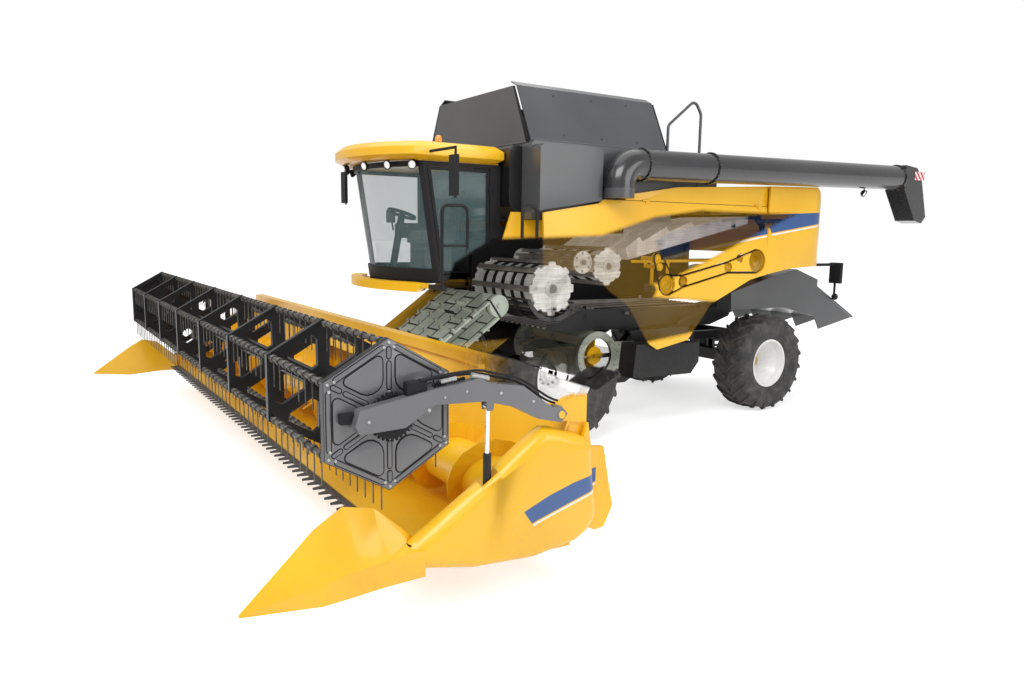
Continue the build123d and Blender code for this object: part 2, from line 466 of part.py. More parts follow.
# yellow panel beside the cab's rear corner, under the air box
PANEL = [(-760, 2160), (-760, 2540), (-620, 2940), (-456, 2940), (-456, 2850), (-100, 2850), (-100, 2160)]
PANEL_X, PANEL_T = 1205.0, 25.0
cab_side_panel = side_plate(PANEL, PANEL_X, PANEL_X + PANEL_T)
cab_side_panel -= side_plate([(-690, 2560), (-620, 2720), (-500, 2720), (-500, 2420), (-690, 2420)], PANEL_X - 1,
                             PANEL_X + 8)
cab_side_panel += box(RAIL_OUT, PANEL_X, -520, -440, 2400, 2460)
cab_side_panel += box(WALL_OUT, RAIL_OUT + 40, -520, 20, 2400, 2460)
cab_side_panels = apart([cab_side_panel, other_side(cab_side_panel)])

storage_box = side_plate([(1200, 760), (2300, 740), (2450, 900), (2450, 1180), (1250, 1220)], 1180, 1490)
storage_box += box(RAIL_OUT - 5, 1190, 1900, 2300, 1150, RAIL_Z0)
storage_boxes = apart([storage_box, other_side(storage_box)])

CHOPPER_OUTLINE = [(3480, 1830), (4520, 2080), (5020, 2170), (5590, 1990), (5560, 1380), (4700, 1560), (3500, 1560)]
CHOPPER_HALF, VANES, VANE_T = 1120.0, 6, 12.0
straw_chopper = side_plate(CHOPPER_OUTLINE, -CHOPPER_HALF, CHOPPER_HALF)
straw_chopper += side_plate([(5550, 1900), (6650, 1330), (6650, 1300), (5550, 1860)], -CHOPPER_HALF, CHOPPER_HALF)
for k in range(VANES):
    x0 = -CHOPPER_HALF + k * (2 * CHOPPER_HALF - VANE_T) / (VANES - 1)
    straw_chopper += side_plate([(5550, 1860), (6600, 1310), (5700, 1150), (5550, 1380)], x0, x0 + VANE_T)
straw_chopper -= box(-WALL_OUT, WALL_OUT, 3400, 4560, 1500, 2300)
straw_chopper += [box(x0, x0 + 20, 4440, 4600, 2010, 2100) for x0 in (-WALL_X, WALL_X - 20)]

# ---- cab -------------------------------------------------------------------------------
CAB_RAKE = 200.0                # the front stands this much further forward at the top than at the floor
SILL, PILLAR, FRONT_POST = 90.0, 45.0, 55.0


def front_at(z):
    """Where the cab's front corner stands at a height."""
    return CAB_SIDE_FRONT - CAB_RAKE * (z - CAB_FLOOR) / (CAB_TOP - CAB_FLOOR)


def cab_plan(grow, z, half, front, bow, rear):
    """Closed plan outline with a bowed front."""
    h, f, b = half + grow, front - grow, rear + grow
    nose = ThreePointArc((-h, f, z), (0, f - bow, z), (h, f, z))
    return Wire([nose, Line((h, f, z), (h, b, z)), Line((h, b, z), (-h, b, z)), Line((-h, b, z), (-h, f, z))])


def cab_block(grow, z0, z1):
    """Cab volume between two heights, its front raked."""
    return Solid.make_loft([cab_plan(grow, z, CAB_HALF, front_at(z), CAB_BOW, CAB_REAR) for z in (z0, z1)], ruled=True)


def raked(z0, z1, back, rear, x0, x1):
    """Prism whose front edge follows the cab's rake."""
    return side_plate([(front_at(z0) + back, z0), (rear, z0), (rear, z1), (front_at(z1) + back, z1)], x0, x1)


DOOR_Y1, DOOR_Z0, DOOR_Z1 = -790.0, 2180.0, 3450.0
GLASS_Z0, GLASS_Z1, GLASS_T = CAB_FLOOR + SILL, CAB_TOP - 60, 8.0
cab_shell = cab_block(0, CAB_FLOOR - 60, CAB_TOP) - cab_block(-CAB_WALL, CAB_FLOOR, CAB_TOP + 1)
cab_shell -= raked(GLASS_Z0, GLASS_Z1, -600, -1000, -CAB_HALF + FRONT_POST, CAB_HALF - FRONT_POST) \
    & raked(GLASS_Z0, GLASS_Z1, -600, 0, -CAB_HALF, CAB_HALF) & (
        side_plate([(-2600, GLASS_Z0), (front_at(GLASS_Z0) + 20, GLASS_Z0), (front_at(GLASS_Z1) + 20, GLASS_Z1),
                    (-2600, GLASS_Z1)], -CAB_HALF, CAB_HALF))
for x0, z0 in ((CAB_HALF - CAB_WALL - 5, DOOR_Z0), (-CAB_HALF - 5, GLASS_Z0)):
    cab_shell -= raked(z0, DOOR_Z1, PILLAR, DOOR_Y1, x0, x0 + CAB_WALL + 10)
cab_shell -= box(-CAB_HALF + 200, CAB_HALF - 200, CAB_REAR - CAB_WALL - 5, CAB_REAR + 5, 2700, 3400)
cab_shell += box(-900, 900, -1560, -700, CARRIER_TOP, CAB_FLOOR - 55)

pane = cab_block(-20, GLASS_Z0 + RUN, GLASS_Z1 - RUN) - cab_block(-20 - GLASS_T, CAB_FLOOR, CAB_TOP)
windscreen = pane & side_plate(
    [(-2600, GLASS_Z0), (front_at(GLASS_Z0) + 16, GLASS_Z0), (front_at(GLASS_Z1) + 16, GLASS_Z1), (-2600, GLASS_Z1)],
    -CAB_HALF + FRONT_POST + RUN, CAB_HALF - FRONT_POST - RUN)
glass_right = raked(GLASS_Z0 + RUN, DOOR_Z1 - RUN, PILLAR + RUN, DOOR_Y1 - RUN, -CAB_HALF + 26, -CAB_HALF + 26 + GLASS_T)
glass_rear = box(-CAB_HALF + 200 + RUN, CAB_HALF - 200 - RUN, CAB_REAR - 34, CAB_REAR - 34 + GLASS_T, 2700 + RUN,
                 3400 - RUN)
cab_glass = apart([windscreen, glass_right, glass_rear])

DOOR_X0, DOOR_X1, GAP, FRAME_W = CAB_HALF - 36, CAB_HALF, 8.0, 38.0
door = raked(DOOR_Z0 + GAP, DOOR_Z1 - GAP, PILLAR + GAP, DOOR_Y1 - GAP, DOOR_X0, DOOR_X1)
inset = GAP + FRAME_W
door -= raked(DOOR_Z0 + inset, DOOR_Z1 - inset, PILLAR + inset, DOOR_Y1 - inset, DOOR_X0 - 1, DOOR_X1 + 1)
DOOR_HINGE_X, DOOR_HINGE_Y, DOOR_HINGE_R = CAB_HALF + 14, DOOR_Y1 - 6, 12.0
for z0 in (DOOR_Z0 + 200, DOOR_Z1 - 260):
    door += rod((DOOR_HINGE_X, DOOR_HINGE_Y, z0), (DOOR_HINGE_X, DOOR_HINGE_Y, z0 + 60), DOOR_HINGE_R)
    door += box(CAB_HALF - 10, DOOR_HINGE_X, DOOR_Y1 - 40, DOOR_HINGE_Y, z0 + 5, z0 + 55)
    cab_shell += rod((DOOR_HINGE_X, DOOR_HINGE_Y, z0 - 40), (DOOR_HINGE_X, DOOR_HINGE_Y, z0 - RUN), DOOR_HINGE_R)
    cab_shell += box(CAB_HALF - 10, DOOR_HINGE_X, DOOR_HINGE_Y, DOOR_HINGE_Y + 40, z0 - 38, z0 - 5)
cab_door = door
inset += RUN
door_glass = raked(DOOR_Z0 + inset, DOOR_Z1 - inset, PILLAR + inset, DOOR_Y1 - inset, DOOR_X0 + 14, DOOR_X0 + 14 + GLASS_T)

# roof: a domed cap with a bowed brow over the windscreen
ROOF_HALF, ROOF_FRONT, ROOF_BOW, ROOF_REAR = 1060.0, -1830.0, 420.0, -660.0
ROOF_LEVELS = [(-60, 3512), (20, 3560), (20, 3650), (-60, 3715), (-220, 3740)]    # grow, height
roof_wires = [cab_plan(grow, z, ROOF_HALF, ROOF_FRONT, ROOF_BOW, ROOF_REAR) for grow, z in ROOF_LEVELS]
cab_roof = Solid.make_loft(roof_wires, ruled=True)
cab_roof += box(-CAB_HALF + 20, CAB_HALF - 20, CAB_REAR - 1100, CAB_REAR - 20, CAB_TOP, 3520)

SEAT_Y = -1080.0
driver_seat = side_plate([(SEAT_Y - 270, 2580), (SEAT_Y - 250, 2690), (SEAT_Y + 230, 2660), (SEAT_Y + 250, 2550)], -260, 260)
driver_seat += side_plate([(SEAT_Y + 150, 2600), (SEAT_Y + 250, 3280), (SEAT_Y + 340, 3270), (SEAT_Y + 290, 2600)], -240, 240)
driver_seat += box(-200, 200, SEAT_Y - 200, SEAT_Y + 220, CAB_FLOOR, 2570)
driver_seat += box(-420, -290, SEAT_Y - 350, SEAT_Y + 200, CAB_FLOOR, 2800) + box(-300, -190, SEAT_Y - 100, SEAT_Y, 2400, 2450)
STEER_TOP, STEER_R = (-1500.0, 2900.0), 190.0
steering_column = rod((0, -1640, CAB_FLOOR + 15), (0,) + STEER_TOP, 45) + box(-90, 90, -1700, -1560, CAB_FLOOR, CAB_FLOOR + 40)
steering_column += rod((0, -1507, 2890), (0, -1495, 2926), STEER_R) - rod((0, -1510, 2881), (0, -1492, 2935), STEER_R - 28)
steering_column += box(-STEER_R + 10, STEER_R - 10, -1520, -1480, 2893, 2916)

PLATFORM_Z0 = DECK_Z - 50.0
cab_platform = box(CAB_HALF + 25, 1620, -1760, -320, PLATFORM_Z0, DECK_Z)
cab_platform += box(CARRIER_X, CAB_HALF + 30, -1500, -700, 2000, PLATFORM_Z0 + 5)
beam_z = (1985.0, 2092.0)
beam = Solid.make_loft([cab_plan(g, z, 1240, -1640, 400, -1500) for g, z in ((0, beam_z[0]), (0, beam_z[1]))], ruled=True)
beam -= Solid.make_loft([cab_plan(-130, z, 1240, -1640, 400, -1250) for z in (beam_z[0] - 1, beam_z[1] + 1)], ruled=True)
cab_platform += beam - box(-1400, 1400, -1530, -1200, 1900, 2200)
cab_platform += both(box(CARRIER_X, 1160, -1560, -1480, 1990, 2050))
RAILS = [  # y front, y rear, top height
    (-1760, -1440, 2980), (-700, -490, 3000)]
for y0, y1, top in RAILS:
    cab_platform += bent_bar([(1590, y0, DECK_Z - 5), (1590, y0, top), (1590, y1, top), (1590, y1, DECK_Z - 5)], RAIL_R, 80)
    cab_platform += rod((1590, y0, (top + DECK_Z) / 2), (1590, y1, (top + DECK_Z) / 2), RAIL_R - 5)
LADDER_X, LADDER_Y0, LADDER_Y1, LADDER_FOOT, STEPS = (1230.0, 1600.0), -1420.0, -1250.0, 560.0, 5
for x in LADDER_X:
    cab_platform += side_plate([(LADDER_Y0, LADDER_FOOT), (LADDER_Y1, LADDER_FOOT), (LADDER_Y1, DECK_Z - 5),
                                (LADDER_Y0, DECK_Z - 5)], x, x + 16)
for k in range(STEPS):
    z = LADDER_FOOT + 30 + k * (PLATFORM_Z0 - LADDER_FOOT) / STEPS
    cab_platform += box(LADDER_X[0], LADDER_X[1] + 16, LADDER_Y0, LADDER_Y1, z, z + 25)

MIRROR_X, MIRROR_Y = 1640.0, -1620.0
side_mirror = rod((ROOF_HALF + 20.8, -1640, 3600), (MIRROR_X, MIRROR_Y, 3600), 16)
side_mirror += rod((MIRROR_X, MIRROR_Y, 3615), (MIRROR_X, MIRROR_Y, 3060), 14)
side_mirror += box(MIRROR_X - 80, MIRROR_X + 80, MIRROR_Y - 40, MIRROR_Y, 3080, 3520)
mirrors = apart([side_mirror, other_side(side_mirror)])

# ---- unloading auger --------------------------------------------------------------------
TUBE_RISE = (TUBE_Z1 - TUBE_Z0) / (TUBE_END - RISER_Y)
FLANGES, FLANGE_T, FLANGE_H = (1060.0, 2300.0, TUBE_END - 24), 24.0, 20.0
unloading_auger = bent_bar([(AUGER_X, RISER_Y, RISER_TOP + RUN), (AUGER_X, RISER_Y, TUBE_Z0),
                            (AUGER_X, TUBE_END, TUBE_Z1)], AUGER_R, BEND_R)
for y in FLANGES:
    z = TUBE_Z0 + TUBE_RISE * (y - RISER_Y)
    unloading_auger += rod((AUGER_X, y, z), (AUGER_X, y + FLANGE_T, z + FLANGE_T * TUBE_RISE), AUGER_R + FLANGE_H)
SPOUT_HALF = 170.0
unloading_auger += side_plate(
    [(TUBE_END, TUBE_Z1 + 200), (TUBE_END + 330, TUBE_Z1 + 170), (TUBE_END + 480, TUBE_Z1 + 20), (SPOUT_END, 3060),
     (SPOUT_END - 120, 2950), (SPOUT_END - 330, 2990), (TUBE_END, TUBE_Z1 - 200)],
    AUGER_X - SPOUT_HALF, AUGER_X + SPOUT_HALF)

# ---- feeder house -------------------------------------------------------------------------
FEEDER_OUTLINE = [(-2050, 430), (-2050, 1340), (-1480, 1340), (-330, 2160), (-180, 2160), (-120, 1450), (-1750, 400)]
FEEDER_INSIDE = [(-2100, 480), (-2100, 1290), (-1460, 1290), (-315, 2110), (-100, 2110), (-60, 1530), (-1770, 440)]
FEEDER_T = 30.0
feeder_house = side_plate(FEEDER_OUTLINE, -FEEDER_HALF, FEEDER_HALF)
feeder_house -= side_plate(FEEDER_INSIDE, -FEEDER_HALF + FEEDER_T, FEEDER_HALF - FEEDER_T)
trunnion = disc(FEEDER_HALF - 10, WALL_X - RUN, 60, FEEDER_PIVOT_Y, FEEDER_PIVOT_Z)
trunnion += side_plate([(-400, 1700), (-400, 1990), (-60, 1990), (-60, 1870), (-250, 1700)], FEEDER_HALF - FEEDER_T,
                       FEEDER_HALF)
feeder_house += both(trunnion)
LUG_HALF, LUG_T = 60.0, 18.0
LUG = [(-1680, 460), (-1645, 370), (-1600, 350), (-1555, 370), (-1480, 580), (-1660, 470)]
lugs = [side_plate(LUG, x0, x0 + LUG_T) for x0 in (LIFT_X - LUG_HALF, LIFT_X + LUG_HALF - LUG_T)]
feeder_house += lugs + [other_side(lug) for lug in lugs]

CHAIN_HALF, CHAIN_T = 690.0, 30.0
CHAIN_LOW, CHAIN_HIGH, CHAIN_R = (-1750.0, 800.0), (-440.0, 1740.0), 130.0
SLAT_ROWS, SLAT_W, SLAT_H = 7, 45.0, 34.0
slope = atan2(CHAIN_HIGH[1] - CHAIN_LOW[1], CHAIN_HIGH[0] - CHAIN_LOW[0])
run_length = ((CHAIN_HIGH[0] - CHAIN_LOW[0]) ** 2 + (CHAIN_HIGH[1] - CHAIN_LOW[1]) ** 2) ** 0.5


def on_chain(along, off):
    """Point on the slanting chain: along it from the lower sprocket, and off it."""
    return (CHAIN_LOW[0] + along * cos(slope) - off * sin(slope), CHAIN_LOW[1] + along * sin(slope) + off * cos(slope))


feeder_chain = bar(on_chain(0, CHAIN_R), on_chain(run_length, CHAIN_R), CHAIN_T, -CHAIN_HALF, CHAIN_HALF)
feeder_chain += bar(on_chain(0, -CHAIN_R), on_chain(run_length, -CHAIN_R), CHAIN_T, -CHAIN_HALF, CHAIN_HALF)
for y, z in (CHAIN_LOW, CHAIN_HIGH):
    feeder_chain += disc(-CHAIN_HALF, CHAIN_HALF, CHAIN_R + CHAIN_T / 2, y, z)
    feeder_chain += disc(-FEEDER_HALF + FEEDER_T + RUN, FEEDER_HALF - FEEDER_T - RUN, 35, y, z)
for k in range(SLAT_ROWS):
    for column in range(3):
        along = (k + 0.5 + 0.5 * (column % 2)) * run_length / (SLAT_ROWS + 1)
        x0 = -CHAIN_HALF + column * 2 * CHAIN_HALF / 3
        for side in (1, -1):
            low = on_chain(along, side * CHAIN_R)
            high = on_chain(along, side * (CHAIN_R + CHAIN_T / 2 + SLAT_H))
            feeder_chain += bar(low, high, SLAT_W * 0.5, x0 + 12, x0 + 2 * CHAIN_HALF / 3 - 12)

# ---- header ---------------------------------------------------------------------------------
TROUGH_R, SHEET = FLIGHT_R + 30, 25.0


def trough_arc(radius):
    return [(TROUGH_Y + radius * cos(radians(t)), TROUGH_Z + radius * sin(radians(t))) for t in range(15, -106, -15)]


HEADER_TOP = 1560.0
header_frame = side_plate([(-2120, 1500)] + trough_arc(TROUGH_R) + [(-3500, 440), (-3500, 400)]
                          + trough_arc(TROUGH_R + SHEET)[::-1] + [(-2095, 1500)], -HEADER_HALF, HEADER_HALF)
header_frame += box(-HEADER_HALF, HEADER_HALF, -2180, HEADER_BACK_Y, 1460, HEADER_TOP)
header_frame += box(-HEADER_HALF, HEADER_HALF, -2330, -2180, 240, 380)
HEADER_RIBS = (-HEADER_HALF + 30, -3000, -1500, -820, 820, 1500, 3000, HEADER_HALF - 30)
RIB = [(-2250, 300), (HEADER_BACK_Y, 300), (HEADER_BACK_Y, 1500), (-2110, 1500), (-2360, 800)]
header_frame += [side_plate(RIB, x - 15, x + 15) for x in HEADER_RIBS]
EAR = [(-2440, 1290), (-2100, 1230), (HEADER_BACK_Y, 1230), (HEADER_BACK_Y, 1500), (-2150, 1480), (-2300, 1425),
       (-2440, 1400)]
PIVOT_R = 28.0
arm_mount = side_plate(EAR, HEADER_HALF - 45, HEADER_HALF)
arm_mount += disc(HEADER_HALF - 5, ARM_X + ARM_T + 12, PIVOT_R, ARM_PIVOT_Y, ARM_PIVOT_Z)
header_frame += both(arm_mount)
header_frame -= box(-680, 680, -2600, -2000, 520, 1180)
header_frame += both(box(680, 780, -2170, HEADER_BACK_Y, 430, 1460))

# end covers: bulged shells with rounded shoulders, and pointed dividers in front
END_OUTLINE = [(-3640, 480), (-3620, 430), (-3560, 390), (-3150, 300), (-2610, 262), (-2200, 312), (-2080, 370),
               (-2010, 450), (-1990, 530), (-2030, 780), (-2055, 1040), (-2080, 1110), (-2160, 1155), (-2430, 1245),
               (-2520, 1258), (-2590, 1228), (-2938, 985), (-3579, 585), (-3625, 540)]
END_CENTRE = (-2560.0, 620.0)
END_LEVELS = [(HEADER_HALF, 1.0), (HEADER_HALF + 40, 0.995), (HEADER_HALF + 80, 0.975), (HEADER_HALF + 112, 0.94),
              (HEADER_HALF + 132, 0.89), (HEADER_HALF + COVER_T, 0.82)]
END_BRACKET = [(-2100, 1130), (-2060, 1232), (-2025, 1036), (-1897, 1018), (-1817, 642), (-1784, 510), (-1870, 346),
               (-1960, 333), (-2100, 400)]
cover = lofted([[(x, y, z) for y, z in shrunk(END_OUTLINE, END_CENTRE, share)] for x, share in END_LEVELS])
DIVIDER = [  # y, inner x, ridge x, outer x, base z, edge z, ridge z
    (TIP_Y, 4628, 4632, 4640, TIP_Z - 12, TIP_Z - 4, TIP_Z + 6),
    (-4240, 4496, 4512, 4694, 322, 470, 768),
    (-4040, 4496, 4512, 4700, 335, 505, 889),
    (-3820, 4496, 4512, 4700, 350, 530, 839),
    (-3520, 4496, 4512, 4690, 350, 540, 572)]
sections = []
for y, inner_x, ridge_x, outer_x, base, edge, ridge in DIVIDER:
    sections.append([(inner_x, y, base), (outer_x, y, base), (outer_x, y, edge), (ridge_x, y, ridge), (inner_x, y, ridge - 8)])
divider = lofted(sections) - cover
bracket = side_plate(END_BRACKET, HEADER_HALF, HEADER_HALF + 38) - cover
# the cover is hollowed where the reel cylinder stands on its pin
POCKET_Y, POCKET_FLOOR, POCKET_X, POCKET_HALF = -2985.0, 520.0, HEADER_HALF + 85, 70.0
POCKET_Y0, POCKET_Y1 = POCKET_Y - POCKET_HALF, POCKET_Y + POCKET_HALF
REEL_PIN_R, REEL_PIN_Z = 14.0, 600.0
header_end = [
    cover & box(HEADER_HALF - 200, 5000, -4000, POCKET_Y0, 0, 2000), cover & box(HEADER_HALF - 200, 5000, POCKET_Y1, -1000, 0, 2000),
    cover & box(POCKET_X, 5000, POCKET_Y0, POCKET_Y1, 0, 2000),
    cover & box(HEADER_HALF - 200, POCKET_X, POCKET_Y0, POCKET_Y1, 0, POCKET_FLOOR),
    divider, bracket, disc(HEADER_HALF, POCKET_X, REEL_PIN_R, POCKET_Y, REEL_PIN_Z)]
header_ends = apart(header_end + [other_side(piece) for piece in header_end])

KNIFE_TEETH, KNIFE_HALF = 60, 4440.0
tooth = 2 * KNIFE_HALF / KNIFE_TEETH
comb = [(KNIFE_HALF, -3500), (-KNIFE_HALF, -3500), (-KNIFE_HALF, -3560)]
for k in range(KNIFE_TEETH):
    x = -KNIFE_HALF + k * tooth
    comb += [(x + 0.30 * tooth, -3560), (x + 0.45 * tooth, -3650), (x + 0.55 * tooth, -3650), (x + 0.70 * tooth, -3560)]
comb.append((KNIFE_HALF, -3560))
knife_bar = plan_plate(comb, KNIFE_Z - 8, KNIFE_Z + 10)

FLIGHT_PITCH, FLIGHT_T, FLIGHT_STEPS, FLIGHT_INNER_X = 620.0, 8.0, 16, 640.0


def flight(x0, x1, hand):
    """Screw blade round the header auger, in flat-sided steps."""
    count = round(FLIGHT_STEPS * abs(x1 - x0) / FLIGHT_PITCH)
    root = (AUGER_TUBE_R + RUN) / cos(pi / FLIGHT_STEPS)
    rings = []
    for i in range(count + 1):
        a = hand * 2 * pi * i / FLIGHT_STEPS
        x = x0 + (x1 - x0) * i / count
        rings.append([(x + t, TROUGH_Y + r * cos(a), TROUGH_Z + r * sin(a))
                      for r, t in ((root, 0), (FLIGHT_R, 0), (FLIGHT_R, FLIGHT_T), (root, FLIGHT_T))])
    return lofted(rings)


AUGER_HALF = HEADER_HALF - 60
auger_tube = disc(-AUGER_HALF, AUGER_HALF, AUGER_TUBE_R, TROUGH_Y, TROUGH_Z)
auger_tube += disc(-HEADER_HALF + RUN, HEADER_HALF - RUN, 40, TROUGH_Y, TROUGH_Z)
FINGER_R, AUGER_FINGERS = 9.0, 12
for k in range(AUGER_FINGERS):
    x = -FLIGHT_INNER_X + 60 + k * (2 * FLIGHT_INNER_X - 120) / (AUGER_FINGERS - 1)
    a = radians(150 * k)
    ends = [(x, TROUGH_Y + r * cos(a), TROUGH_Z + r * sin(a)) for r in (AUGER_TUBE_R - 20, FLIGHT_R - 5)]
    auger_tube += rod(ends[0], ends[1], FINGER_R)
header_auger = apart([auger_tube, flight(AUGER_HALF - 20, FLIGHT_INNER_X, 1), flight(-AUGER_HALF + 20, -FLIGHT_INNER_X, -1)])

# ---- reel ------------------------------------------------------------------------------------
BAR_RADIUS, BAR_R = REEL_R - 36, 19.0
PLATE_HALF, SPOKE_W, RIM_W, CORNER_CUT = 28.0, 96.0, 62.0, 55.0


def around(u, v, angle):
    """Point at (u along, v across) a direction from the reel's centre, angle from upright."""
    a = radians(angle)
    return (REEL_Y + u * sin(a) + v * cos(a), REEL_Z + u * cos(a) - v * sin(a))


def hexagon(r):
    return [around(r, 0, 60 * k) for k in range(6)]


def sector(k, spoke_w, rim_w, cut):
    """Three-sided opening between two spokes and the rim, its corners cut off."""
    far = REEL_R * cos(radians(30)) - rim_w
    side = lambda u: u * tan(radians(30)) - spoke_w / 2 / cos(radians(30))
    near = spoke_w + cut
    half = [(near, side(near)), (far - cut, side(far - cut)), (far, side(far) - cut)]
    return [around(u, v, 60 * k + 30) for u, v in half + [(u, -v) for u, v in reversed(half)]]


reel_frame = disc(-REEL_HALF + 10, REEL_HALF - 10, 75, REEL_Y, REEL_Z)
reel_frame += disc(-ARM_X + RUN, ARM_X - RUN, 35, REEL_Y, REEL_Z)
bay = 2 * (REEL_HALF - 40) / REEL_BAYS
for k in range(REEL_BAYS + 1):
    x = -REEL_HALF + 40 + k * bay
    end = k in (0, REEL_BAYS)
    side = 1 if k else -1
    ring = side_plate(hexagon(REEL_R), x - PLATE_HALF, x + PLATE_HALF)
    for sector_no in range(6):
        hole = sector(sector_no, SPOKE_W, RIM_W, CORNER_CUT)
        if not end:
            ring -= side_plate(hole, x - PLATE_HALF - 1, x + PLATE_HALF + 1)
            continue
        skin = x + side * (PLATE_HALF - 6)
        ring -= side_plate(hole, *sorted((skin, skin + side * 20)))              # pressed panel, outside
        ring -= side_plate(hole, *sorted((skin - side * 8, skin - side * 80)))   # open back
    ring -= [disc(x - PLATE_HALF - 1, x + PLATE_HALF + 1, BAR_R + RUN, y, z) for y, z in hexagon(BAR_RADIUS)]
    reel_frame += ring

TINES_PER_BAY, TINE_W = 8, 8.0
tine_rows = []
for y, z in hexagon(BAR_RADIUS):
    tines = []
    for k in range(REEL_BAYS):
        for j in range(TINES_PER_BAY):
            x = -REEL_HALF + 40 + k * bay + (j + 0.75) * bay / (TINES_PER_BAY + 0.5)
            tines.append(box(x - TINE_W / 2, x + TINE_W / 2, y - TINE_W / 2, y + TINE_W / 2, z - TINE_L, z - BAR_R + 6))
    tine_rows.append(disc(-REEL_HALF + 12, REEL_HALF - 12, BAR_R, y, z) + tines)
tine_bars = apart(tine_rows)

REEL_LOW, REEL_EYE = (POCKET_Y, REEL_PIN_Z), (POCKET_Y, 1470.0)
ARM_OUTLINE = [(ARM_PIVOT_Y + 60, ARM_PIVOT_Z), (ARM_PIVOT_Y, ARM_PIVOT_Z - 60), (-2570, 1332), (-2800, 1450),
               (-3030, 1512), (-3420, 1530), (-3640, 1400), (-3960, 1390), (-3990, 1450), (-3960, 1550),
               (-3420, 1640), (-3060, 1680), (-3000, 1640), (-2710, 1595), (-2440, 1405), (ARM_PIVOT_Y, ARM_PIVOT_Z + 65)]
arm = side_plate(ARM_OUTLINE, ARM_X, ARM_X + ARM_T)
arm -= disc(ARM_X - 1, ARM_X + ARM_T + 1, PIVOT_R + PIN_FIT, ARM_PIVOT_Y, ARM_PIVOT_Z)
ARM_EAR_T = 10.0
for x0 in (ARM_X, ARM_X + ARM_T - ARM_EAR_T):
    arm += disc(x0, x0 + ARM_EAR_T, REEL_PIN_R + 12, REEL_EYE[0], REEL_EYE[1])
    arm += side_plate([(REEL_EYE[0] - 40, 1570), (REEL_EYE[0] - 25, REEL_EYE[1] - 30), (REEL_EYE[0] + 25, REEL_EYE[1] - 30),
                       (REEL_EYE[0] + 40, 1570)], x0, x0 + ARM_EAR_T)
reel_arms = apart([arm, other_side(arm)])


# ---- cylinders -------------------------------------------------------------------------------
def cylinder_pair(x, low, eye, barrel_r, rod_r, body_l, eye_w, pin_r, spare):
    """Barrel and rod of one cylinder lying in a side plane, bored for their pins."""
    ly, lz = low
    ey, ez = eye
    length = ((ey - ly) ** 2 + (ez - lz) ** 2) ** 0.5
    uy, uz = (ey - ly) / length, (ez - lz) / length
    at = lambda s: (x, ly + uy * s, lz + uz * s)
    bored = pin_r + PIN_FIT
    bottom = 2 * pin_r + 30
    barrel = rod(at(pin_r + 6), at(body_l), barrel_r) - rod(at(bottom), at(body_l + 5), rod_r + RUN)
    barrel += disc(x - eye_w / 2, x + eye_w / 2, pin_r + 14, ly, lz)
    barrel -= disc(x - barrel_r - 1, x + barrel_r + 1, bored, ly, lz)
    piston = rod(at(bottom + spare), at(length - pin_r - 2), rod_r)
    piston += disc(x - eye_w / 2, x + eye_w / 2, pin_r + 14, ey, ez)
    piston -= disc(x - eye_w, x + eye_w, bored, ey, ez)
    return barrel, piston


lift_barrel, lift_rod = cylinder_pair(LIFT_X, LIFT_LOW, LIFT_EYE, 50, 30, 820, 70, LIFT_PIN_R, 90)
reel_barrel, reel_rod = cylinder_pair(ARM_X + ARM_T / 2, REEL_LOW, REEL_EYE, 30, 17, 520, 48, REEL_PIN_R, 90)
lift_barrels = apart([lift_barrel, other_side(lift_barrel)])
lift_rods = apart([lift_rod, other_side(lift_rod)])
reel_barrels = apart([reel_barrel, other_side(reel_barrel)])
reel_rods = apart([reel_rod, other_side(reel_rod)])

# ---- write one file for each node ----------------------------------------------------------------
PARTS = {
    "main_frame": main_frame, "side_wall_left": side_wall_left, "side_wall_right": side_wall_right,
    "front_axle": front_axle, "rear_axle": rear_axle, "engine": engine,
    "grain_tank": grain_tank, "cab_shell": cab_shell, "cab_roof": cab_roof, "cab_glass": cab_glass,
    "driver_seat": driver_seat, "steering_column": steering_column, "cab_platform": cab_platform,
    "mirrors": mirrors, "cab_side_panels": cab_side_panels, "rear_hood": rear_hood, "engine_deck": engine_deck, "storage_boxes": storage_boxes,
    "straw_chopper": straw_chopper, "concave": concave, "straw_walkers": straw_walkers, "sieves": sieves,
    "fan_housing": fan_housing, "belt_drive": belt_drive,
    "side_shield_left": side_shield_left, "side_shield_right": side_shield_right,
    "tank_cover_left": tank_cover_left, "tank_cover_right": tank_cover_right,
    "tank_cover_front": tank_cover_front, "tank_cover_rear": tank_cover_rear,
    "cab_door": cab_door, "door_glass": door_glass, "unloading_auger": unloading_auger,
    "threshing_drum": threshing_drum, "beater": beater, "rotary_separator": rotary_separator,
    "cleaning_fan": cleaning_fan,
    "front_tyre_left": front_tyre, "front_tyre_right": other_side(front_tyre),
    "front_rim_left": front_rim, "front_rim_right": other_side(front_rim),
    "rear_tyre_left": rear_tyre, "rear_tyre_right": other_side(rear_tyre),
    "rear_rim_left": rear_rim, "rear_rim_right": other_side(rear_rim),
    "rear_knuckle_left": knuckle, "rear_knuckle_right": other_side(knuckle),
    "feeder_house": feeder_house, "feeder_chain": feeder_chain, "header_frame": header_frame,
    "header_ends": header_ends, "knife_bar": knife_bar, "header_auger": header_auger,
    "reel_arms": reel_arms, "reel_frame": reel_frame, "tine_bars": tine_bars,
    "lift_barrels": lift_barrels, "lift_rods": lift_rods, "reel_barrels": reel_barrels, "reel_rods": reel_rods,
}

os.makedirs("parts", exist_ok=True)
for name, shape in PARTS.items():
    export_step(Pos(0, ROW_Y, 0) * shape, f"parts/{name}.step")
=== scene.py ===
import json
from math import asin, atan2, cos, pi, radians, sin, sqrt
import bpy
import bmesh
from mathutils import Matrix, Vector


